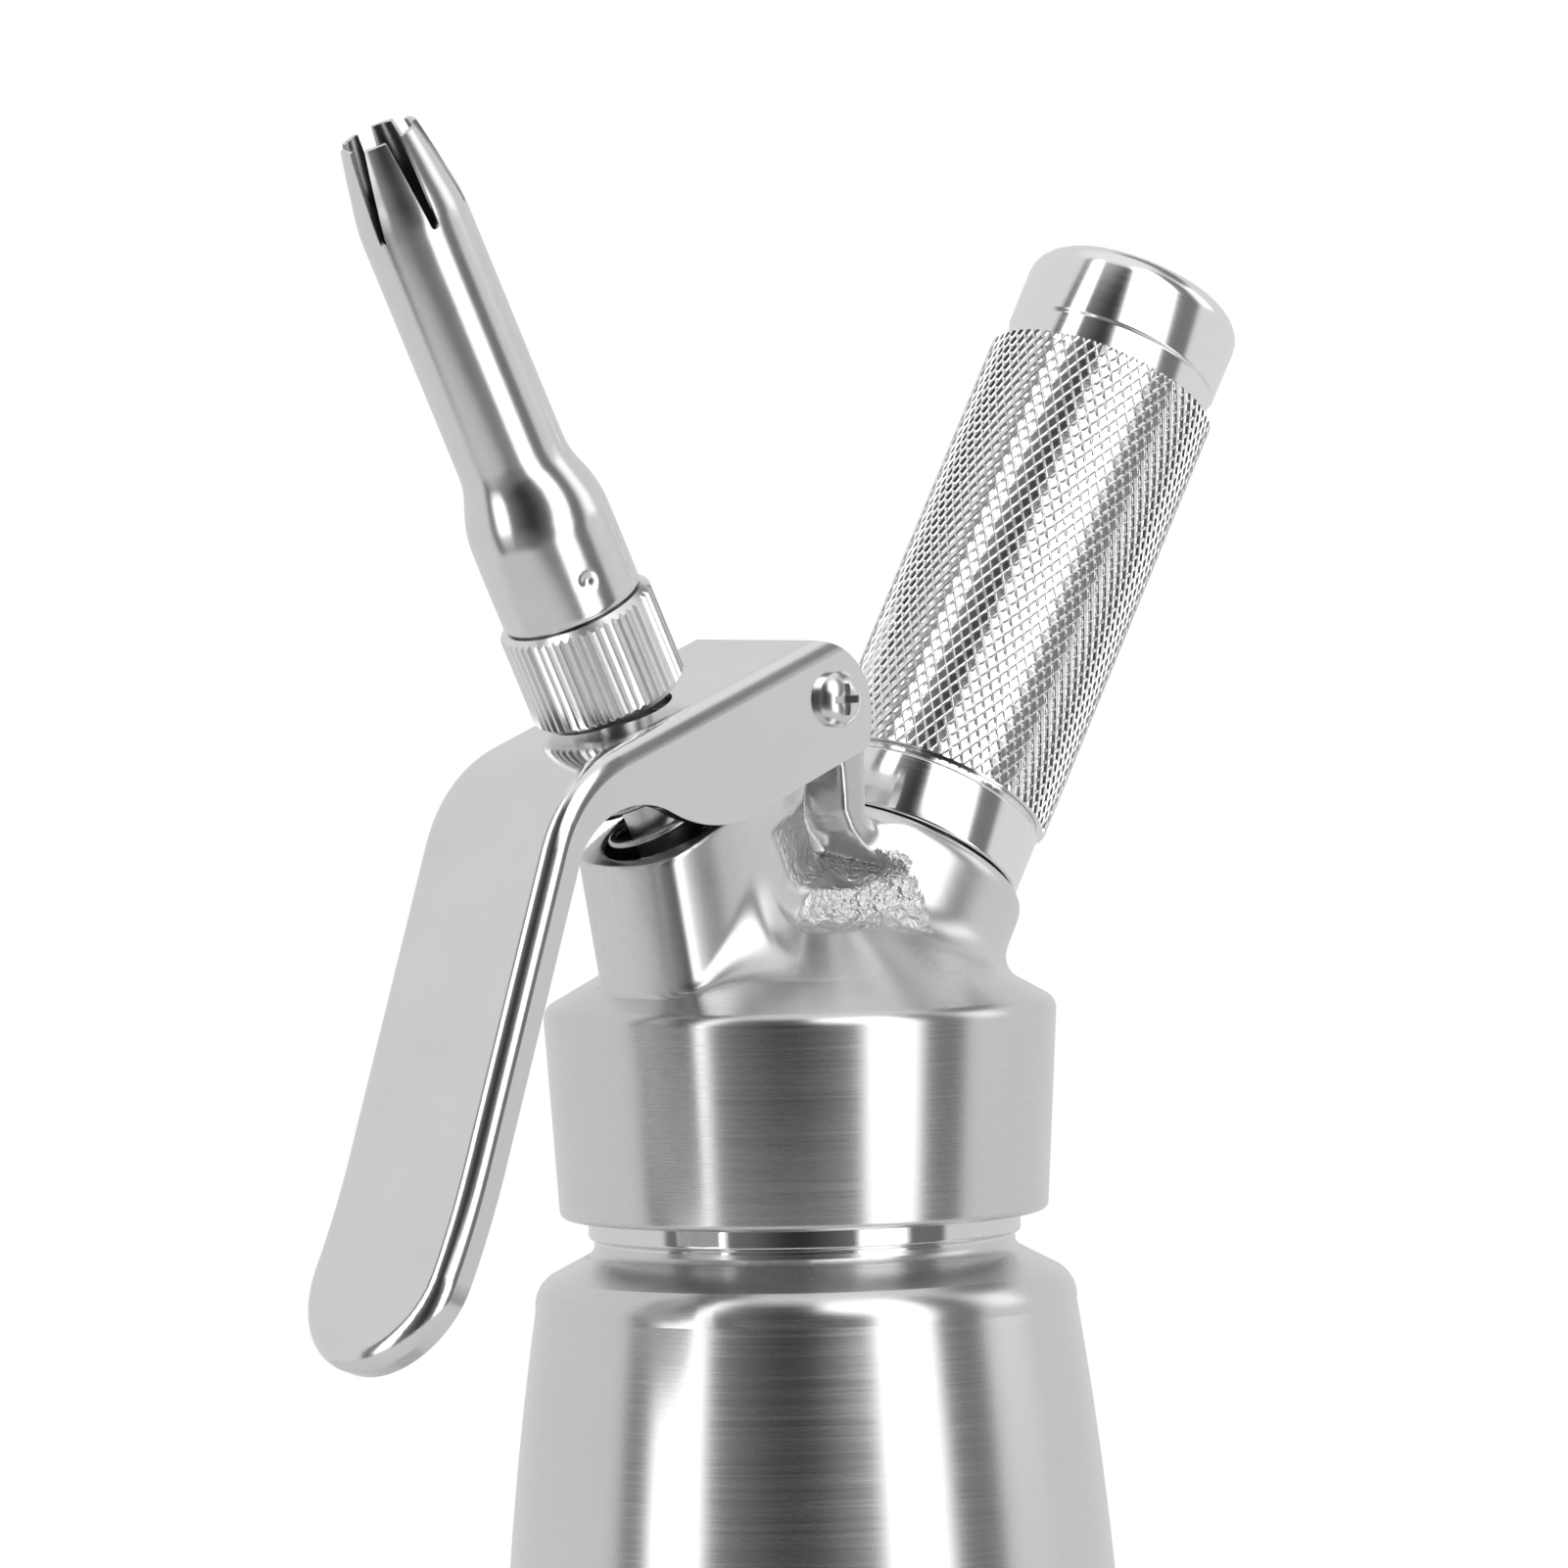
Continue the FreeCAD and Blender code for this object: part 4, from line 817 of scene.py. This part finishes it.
# %% [markdown]
# ## Pockets and lug
#
# Each side of the web has a wedge-shaped pocket that saves metal. Its outline
# shrinks and moves as it goes in, so the field is worked out slice by slice,
# between an outline at the side face and one at the pocket's floor. Beside it runs
# the curved arm that carries the lever's pivot.

# %% Fields of the pocket and the lug
POCKET_FLOOR, POCKET_MOUTH = 2.46, 9.6
EYE_RADIUS = 4.9
MOUTH_OUTLINE = from_pivot(
    (-1.5, -7.5), (-3.0, -12.0), (-9.2, -16.0), (-6.4, -22.0), (-4.4, -23.4), (5.5, -22.8),
    (10.0, -20.5), (8.5, -19.1), (5.0, -16.2), (3.3, -13.8), (3.3, -7.0),
)
FLOOR_OUTLINE = from_pivot(
    (2.7, -7.5), (2.9, -12.0), (3.2, -14.5), (4.0, -17.4), (4.6, -18.8), (5.6, -19.2),
    (6.6, -18.8), (6.3, -18.0), (4.3, -16.0), (3.3, -13.8), (3.3, -7.0),
)
ARM_OUTLINE = from_pivot(
    (2.9, -8.0), (3.3, -13.6), (4.4, -15.9), (6.04, -17.7), (8.0, -19.3), (10.0, -20.5),
    (11.3, -17.9), (8.46, -16.44), (7.3, -15.0), (7.0, -13.6), (7.0, -5.0), (4.41, 2.1),
    (0, 0), (-4.2, -2.45),
)


def pocket(block):
    field = np.empty(np.broadcast(block.x, block.y, block.z).shape)
    for slice_number, y in enumerate(block.y.ravel()):
        share = (abs(y) - POCKET_FLOOR) / (POCKET_MOUTH - POCKET_FLOOR)
        share = min(max(share, 0), 1.3)
        outline = [(a[0] + (b[0] - a[0]) * share, a[1] + (b[1] - a[1]) * share)
                   for a, b in zip(FLOOR_OUTLINE, MOUTH_OUTLINE)]
        flat = outline_field(outline, block.x[:, 0], block.z[0])
        field[:, slice_number] = np.maximum(flat, POCKET_FLOOR - abs(y))
    return field


def from_pivot_axis(block):
    return np.hypot(block.x - PIVOT_X, block.z - PIVOT_Z)


def lug(block):
    """The curved arm on each side that carries the pivot, with its eye."""
    arm = outline_field(ARM_OUTLINE, block.x, block.z)
    eye = from_pivot_axis(block) - EYE_RADIUS
    return edge_rounded(np.minimum(arm, eye), np.abs(block.y) - SIDE, 0.35)


print("a pocket is", round(SIDE - POCKET_FLOOR, 2), "mm deep")

# %% [markdown]
# ## Bores
#
# The bores are drilled last, as in the workshop. Boolean modifiers could drill the
# mesh, but in a field a bore is just a maximum. Along the valve's axis lie the
# stem's guide, the spring's well above it and the valve's well below. Along the
# charger's axis lie the socket of the nipple, the gas passage and its wider end.

# %% Field of the bores
SOCKET_RADIUS, EYE_BORE = 11.0, 3.05


def bores(block):
    """All that the drills take away, along both axes and through the pivot."""
    rise, radius = about(VALVE_X, VALVE_LEAN, block)
    guide = radius - 4.05
    spring_well = np.maximum(radius - 7.7, 14.0 - rise)
    valve_well = np.maximum(radius - 7.2, rise - 1.5)
    valve = np.minimum(np.minimum(guide, spring_well), valve_well)
    rise, radius = about(CHARGER_X, CHARGER_LEAN, block)
    passage = radius - 2.5
    socket = np.maximum(radius - SOCKET_RADIUS, 9.0 - rise)
    wide_end = np.maximum(radius - 5.5, rise - 1.2)
    gas = np.maximum(np.minimum(np.minimum(passage, socket), wide_end), rise - 30)
    return np.minimum(np.minimum(valve, gas), from_pivot_axis(block) - EYE_BORE)


print("the boss has a wall of", round(BOSS_RADIUS - SOCKET_RADIUS, 2), "mm")

# %% [markdown]
# ## Rough skin
#
# Where no tool could reach, the casting keeps the rough skin of its mould: on the
# left side of each pocket, along its foot, and between the lug and the boss. Bump
# alone would leave its outline smooth, so it is carved as lumps. It has to end
# softly and stay off the turned cone, so it is a share from 0 to 1, made by
# multiplying ramps. The same share lifts the lumps and marks the finish.

# %% Where the rough skin lies
def rough_skin(block, arm):
    """1 where the mould's rough skin was left, 0 on ground and turned metal."""
    x, z, y = block.x - PIVOT_X, block.z - PIVOT_Z, np.abs(block.y)
    radius = np.hypot(block.x, block.y)
    inside_ridge = ramp(14.7 - radius, 0, 0.5) * ramp(block.z - 7.5, 0, 1)
    off_cone = np.maximum(inside_ridge, ramp(above_cone(radius, block.z), 0.3, 1.0))

    left = ramp(2.6 - 0.18 * (z + 8) - x, 0, 0.5) * ramp(x + 10.3, 0, 0.4) * ramp(-10 - z, 0, 1.0)
    left = left * ramp(8.4 - y, 0, 0.4) * ramp(y - 2.5, 0, 0.3) * ramp(z + 22.0 - 0.3 * x, 0, 0.5)

    foot = ramp(np.minimum(-22.4, 1.05 * x - 21.6) - z, 0, 0.6) * ramp(y - 7.0, 0, 1)
    beside_boss = ramp(x, 4.2, 5.4) * ramp(19.0 - block.z, 0, 1.5) * ramp(y - 2, 0, 1)
    across = along(CHARGER_X, CHARGER_LEAN, block)[1]
    off_boss = ramp(-3.3 + 0.33 * (block.z - 9) - across, 0, 1.8)
    off_boss = off_boss * ramp(21.5 - 0.256 * block.z - 0.74 * x - 0.673 * y, 0, 1.5)
    low = np.maximum(foot, beside_boss) * off_cone * off_boss
    return np.maximum(left, low) * ramp(arm, 0.1, 0.6)


# %% Lumps of the rough skin
def random_lumps(block, size, seed):
    """Random lumps about size across, from -1 to 1."""
    lines = [line.ravel() for line in (block.x, block.y, block.z)]
    counts = [int(np.ptp(line) / size) + 3 for line in lines]
    lumps = np.random.default_rng(seed).uniform(-1, 1, counts)
    for axis, line in enumerate(lines):
        place = (line - line[0]) / size
        cell = place.astype(int)
        share = ramp(place - cell, 0, 1).reshape([-1 if i == axis else 1 for i in range(3)])
        here, there = np.take(lumps, cell, axis), np.take(lumps, cell + 1, axis)
        lumps = here * (1 - share) + there * share
    return lumps



# %% [markdown]
# ## Carving the head
#
# Now the fields are put together in the order of the real work: tower and boss
# flow into each other and onto the base, the pockets are cut, the rough skin gets
# its lumps, the arm is laid on and the bores are drilled. The fillet to the base is
# narrow in front of the tower, widest beside it and narrower again behind.

# %% The head casting
def head_metal(block):
    """The finished field of the head, and the share of rough skin."""
    metal = blended(tower(block), boss(block), 5.0)
    fillet = 1.0 + 8.0 * ramp(block.x + 28.2, 3.0, 14.0)
    fillet = fillet - 5.5 * ramp(block.x - PIVOT_X, -12.0, -4.0)
    metal = blended(metal, turned_base(block), fillet)
    metal = eased(metal, -pocket(block), 0.7)
    arm = lug(block)
    rough = rough_skin(block, arm)
    lumps = 0.22 * random_lumps(block, 1.1, seed=3) + 0.14 * random_lumps(block, 0.75, seed=5)
    metal = metal + rough * lumps
    metal = blended(metal, arm, 0.6)
    return np.maximum(np.maximum(metal, -bores(block)), CASTING_FOOT - block.z), rough


def carve_head(step):
    """The casting as a piece, with its rough skin marked for the finish."""
    block = Block(low=(-32.5, -32.5, -4.0), high=(32.5, 32.5, 43.0), step=step)
    metal, rough = head_metal(block)
    points, faces = skin(block, metal)
    points -= read(block, metal, points)[:, None] * normals(block, metal, points)
    piece = add_piece("head_casting", points.tolist(), faces, upright, "head", head_steel, "head")
    places = np.array([vertex.co for vertex in piece.data.vertices]) / MM
    piece.data.shade_smooth()
    piece.data.normals_split_custom_set_from_vertices(normals(block, metal, places))
    mark = piece.data.attributes.new("rough_cast", "FLOAT", "POINT")
    mark.data.foreach_set("value", read(block, rough, places))
    return piece


casting = carve_head(step=0.41)
print("casting has", len(casting.data.polygons), "faces")

# %% [markdown]
# ## Charger holder
#
# The holder is three things on one axis: a plain tube whose collar shows below the
# grip, the knurled grip, and a rounded cap with a narrow neck. The CAD parts lean
# in their own mesh, so rings on them would run round the wrong axis. Tube and cap
# are turned again here, upright, and their brushed rings follow their own axis.

# %% Collar and cap
turned("holder_collar", [
    (11.6, 20.0), (13.85, 20.0, 0.4), (13.85, 27.5, 0.3), (13.35, 27.8, 0.15), (13.35, 28.6),
    (12.35, 28.6), (12.35, 85.7), (11.55, 85.7), (11.55, 90.3), (9.7, 90.3), (9.7, 29.3),
    (11.6, 29.3),
], charger_axis, "charger_holder", holder_steel, "holder_tube")

turned("cap_of_holder", [
    (11.6, 85.7), (13.2, 85.7, 0.3), (13.2, 89.1, 0.2), (13.5, 89.45, 0.2), (13.58, 99.4, 3.0),
    (0, 99.4), (0, 94.4), (9.7, 94.4), (9.7, 90.35), (11.6, 90.35),
], charger_axis, "charger_holder", holder_steel, "holder_cap")

# %% [markdown]
# ## Knurled grip
#
# A knurl is two families of helical ridges that cross like a net. A texture can't
# show it from the side, so it is a mesh, and the mesh follows the helices: its rows
# and columns run along the two families, with five steps to each ridge. So every
# crest is a clean line of edges, and every opening of the net a flat-floored pit.

# %% The lattice of ridges
GRIP_RADIUS = 14.5
KNURL_STARTS = 62
KNURL_PITCH = 2.45
KNURL_DEPTH = 0.36
RIDGE_STEPS = (0.0, 0.07, 0.18, 0.82, 0.93)
RIDGE_FALLS = (0.0, 0.25, 1.0, 1.0, 0.25)


def knurl_lattice(outer, low, high):
    """Points and faces of the crossing ridges, a little longer than the grip."""
    share = len(RIDGE_STEPS)
    around = KNURL_STARTS * share
    rows = math.ceil((high - low) / KNURL_PITCH + 2) * share * 2
    row, column = np.meshgrid(np.arange(rows), np.arange(around), indexing="ij")
    other = column - row
    steps, falls = np.array(RIDGE_STEPS), np.array(RIDGE_FALLS)
    first = column // share + steps[column % share]
    second = other // share + steps[other % share]
    turn = math.pi * (first + second) / KNURL_STARTS
    height = low + ((first - second) / 2 - 1) * KNURL_PITCH
    fall = np.minimum(falls[column % share], falls[other % share])
    radius = outer - KNURL_DEPTH * fall
    points = np.stack([radius * np.cos(turn), radius * np.sin(turn), height], -1).reshape(-1, 3)
    inner_rows, columns = row[1:-1].ravel(), column[1:-1].ravel()
    beside = (columns + 1) % around
    faces = np.stack([
        inner_rows * around + columns,
        (inner_rows + 1) * around + beside,
        inner_rows * around + beside,
        (inner_rows - 1) * around + columns,
    ], -1)
    return points, faces.tolist()


slant = math.atan2(KNURL_PITCH / 2, GRIP_RADIUS * math.pi / KNURL_STARTS)
print("the ridges rise at", round(math.degrees(slant)), "degrees")

# %% [markdown]
# ## Ends of the grip
#
# The lattice is a little long, with ragged ends. As on the lathe, it is faced off
# square at both ends and closed with a bore. Its faces are shaded flat, because
# each side of a ridge is a small flat facet.

# %% The grip
GRIP_LOW, GRIP_HIGH, GRIP_BORE = 28.65, 85.68, 12.4


def square_ends(piece, low, high, bore):
    """Cut a sleeve off at two heights and close it with a bore."""
    form = bmesh.new()
    form.from_mesh(piece.data)
    for height, out in ((low, -1), (high, 1)):
        cut = {"plane_co": (0, 0, height * MM), "plane_no": (0, 0, out), "clear_outer": True}
        bmesh.ops.bisect_plane(form, geom=form.verts[:] + form.edges[:] + form.faces[:], **cut)
    rims = [edge for edge in form.edges if edge.is_boundary]
    made = bmesh.ops.extrude_edge_only(form, edges=rims)["geom"]
    for vertex in (item for item in made if isinstance(item, bmesh.types.BMVert)):
        vertex.co.xy = vertex.co.xy.normalized() * bore * MM
    loops = [edge for edge in form.edges if edge.is_boundary]
    bmesh.ops.bridge_loops(form, edges=loops)
    bmesh.ops.recalc_face_normals(form, faces=form.faces)
    form.to_mesh(piece.data)
    form.free()
    piece.data.shade_flat()


points, faces = knurl_lattice(GRIP_RADIUS, GRIP_LOW, GRIP_HIGH)
grip = add_piece("knurled_grip", points.tolist(), faces, charger_axis, "charger_holder",
                 grip_nickel, "grip_sleeve")
square_ends(grip, GRIP_LOW, GRIP_HIGH, GRIP_BORE)
print("grip has", len(grip.data.polygons), "faces")

# %% [markdown]
# ## Line of the nozzle
#
# The nozzle is one drawn steel tube: a bulb at its foot, a short flare, a long
# straight neck, and a tip that draws in. Its radius is a curve through points, of a
# kind that can't swing out between them, so that the neck stays straight.

# %% Radius along the tube
NOZZLE_FOOT, NOZZLE_TIP = 55.4, 117.6
TUBE_LINE = [
    (NOZZLE_FOOT, 8.45), (55.8, 8.6), (61.0, 8.62), (66.2, 8.58), (68.2, 8.35), (69.8, 7.95),
    (71.4, 7.4), (72.8, 6.95), (74.2, 6.7), (76.0, 6.62), (90.0, 6.6), (105.0, 6.6),
    (107.0, 6.55), (109.0, 6.32), (111.0, 5.98), (113.5, 5.58), (115.8, 5.15), (NOZZLE_TIP, 4.8),
]


def smooth_line(knots, where):
    """A curve through (place, value) knots that doesn't overshoot between them."""
    x, y = np.array(knots).T
    slope = np.diff(y) / np.diff(x)
    turn = slope[:-1] * slope[1:]
    middle = np.where(turn > 0, 2 * turn / (slope[:-1] + slope[1:] + 1e-12), 0)
    tangent = np.concatenate([[slope[0]], middle, [slope[-1]]])
    i = np.clip(np.searchsorted(x, where) - 1, 0, len(x) - 2)
    step = x[i + 1] - x[i]
    t = (where - x[i]) / step
    start = (1 + 2 * t) * (1 - t) ** 2 * y[i] + t * (1 - t) ** 2 * step * tangent[i]
    return start + t * t * (3 - 2 * t) * y[i + 1] + t * t * (t - 1) * step * tangent[i + 1]


print("the neck's radius is", round(float(smooth_line(TUBE_LINE, 95.0)), 2), "mm")

# %% [markdown]
# ## Slits and crimp marks
#
# The tip is slit six times, so that petals stand between the slits. Three punch
# marks crimp the bulb on its threaded ring. Booleans could cut both from a finished
# tube, but as formulas they shape the mesh from the start, with clean edges.

# %% Width of the slits, depth of the marks
PETALS = 6
PETAL_PHASE = 11.0
SLIT_FOOT = 106.2
SLIT_ROUNDING = 0.45
CRIMP_HEIGHT, CRIMP_TURN, BULB_RADIUS = 60.0, 251.0, 8.6


def slit_width(height):
    """Width of a slit: round at its foot, widening to the mouth."""
    foot = SLIT_ROUNDING
    up = np.clip(height - SLIT_FOOT, 0, None)
    widening = 2 * foot + 1.35 * up / (NOZZLE_TIP - SLIT_FOOT)
    arc = 2 * np.sqrt(np.clip(foot**2 - (foot - np.minimum(up, foot)) ** 2, 0, None))
    return np.minimum(widening, np.where(up < foot, arc, widening))


def crimp(turn, height):
    """How far the wall is pushed in by the three crimp marks."""
    depth = np.zeros_like(turn)
    for mark in range(3):
        middle = math.radians(CRIMP_TURN + 120 * mark)
        away = np.angle(np.exp(1j * (turn - middle))) * BULB_RADIUS
        distance = np.hypot(away, height - CRIMP_HEIGHT)
        depth += 0.42 * np.exp(-((distance / 0.75) ** 2))
    return depth


print("a slit is", round(float(slit_width(NOZZLE_TIP)), 2), "mm wide at its mouth")

# %% [markdown]
# ## Sheet of the nozzle
#
# The mesh is a grid round the axis whose columns step aside at each slit. An inner
# skin gives the sheet its thickness, and a narrow bevel breaks its edges as drawing
# and polishing do.

# %% The drawn tube with its petals
def nozzle_rows():
    """Heights of the mesh's rows: close at crimps, flare and petals, wide on the neck."""
    return np.concatenate([
        np.arange(NOZZLE_FOOT, 62.6, 0.3),
        np.arange(63.0, 76.5, 0.5),
        np.arange(78.0, 105.0, 3.0),
        SLIT_FOOT + np.array([-0.6, 0, 0.03, 0.12, 0.27, 0.45, 0.8]),
        np.linspace(SLIT_FOOT + 1.3, NOZZLE_TIP, 18),
    ])


def nozzle_mesh(wall=0.62, columns=26):
    rows = nozzle_rows()
    radius = smooth_line(TUBE_LINE, rows)
    half_slit = slit_width(rows) / 2 / radius
    share = np.linspace(0, 1, columns)
    petal = 2 * math.pi / PETALS
    starts = math.radians(PETAL_PHASE) + petal * np.arange(PETALS)
    turn = (starts[None, :, None] + half_slit[:, None, None]
            + share[None, None, :] * (petal - 2 * half_slit[:, None, None]))
    height = np.broadcast_to(rows[:, None, None], turn.shape)
    pushed = crimp(turn, height)
    skins = [radius[:, None, None] - pushed, radius[:, None, None] - wall - pushed]
    points = np.concatenate([
        np.stack([skin * np.cos(turn), skin * np.sin(turn), height], -1).reshape(-1, 3)
        for skin in skins
    ])
    return points, nozzle_faces(len(rows), columns, half_slit)


def nozzle_faces(height, columns, half_slit):
    """Outer and inner skins, the two rims, and the walls of the slits."""
    skin = height * PETALS * columns
    faces = []
    for petal in range(PETALS):
        for row in range(height - 1):
            first = (row * PETALS + petal) * columns
            above = first + PETALS * columns
            for i in range(columns - 1):
                outer = (first + i, first + i + 1, above + i + 1, above + i)
                faces += [outer, tuple(skin + corner for corner in outer[::-1])]
            if half_slit[row + 1] > 0:
                for side in (0, columns - 1):
                    faces.append((first + side, above + side,
                                  skin + above + side, skin + first + side))
        for row in (0, height - 1):
            first = (row * PETALS + petal) * columns
            for i in range(columns - 1):
                faces.append((first + i, skin + first + i, skin + first + i + 1, first + i + 1))
    return faces


points, faces = nozzle_mesh()
tube = add_piece("petal_nozzle", points.tolist(), faces, valve_axis, "nozzle", nozzle_steel,
                 "nozzle")
soft_edge = tube.modifiers.new("soft_edge", "BEVEL")
soft_edge.width = 0.12 * MM
soft_edge.segments = 2
soft_edge.angle_limit = math.radians(50)

# %% [markdown]
# ## Valve spring
#
# The spring is drawn wire wound on a mandrel, and the stem's collar squashes it
# when the lever is squeezed. A curve with a round bevel could draw it; here a ring
# of points is carried along a helix, turned so that it stays square to the wire,
# and the helix climbs along the valve's axis.

# %% The spring
def coil(name, radius, wire, low, high, pitch, sides=14, steps=48):
    turns = (high - low) / pitch
    share = np.linspace(0, 1, int(turns * steps) + 1)
    turn = 2 * math.pi * turns * share
    out = np.stack([np.cos(turn), np.sin(turn), 0 * turn], -1)
    rise = pitch / (2 * math.pi * radius)
    side = np.stack([rise * np.sin(turn), -rise * np.cos(turn), 0 * turn + 1], -1)
    side /= np.linalg.norm(side, axis=1)[:, None]
    line = out * radius + np.stack([0 * turn, 0 * turn, low + (high - low) * share], -1)
    ring = 2 * math.pi * np.arange(sides) / sides
    cosines, sines = np.cos(ring)[None, :, None], np.sin(ring)[None, :, None]
    points = line[:, None] + wire * (cosines * out[:, None] + sines * side[:, None])
    points = points.reshape(-1, 3)
    faces = [tuple(range(sides)), tuple(range(len(points) - 1, len(points) - sides - 1, -1))]
    for step in range(len(line) - 1):
        for i in range(sides):
            j = (i + 1) % sides
            here, there = step * sides, (step + 1) * sides
            faces.append((here + i, here + j, there + j, there + i))
    return add_piece(name, points.tolist(), faces, valve_axis, "head", spring_steel,
                     "valve_spring", sharp=60)


spring = coil("return_spring", radius=6.3, wire=0.55, low=14.85, high=34.85, pitch=4.5)
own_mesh(spring)
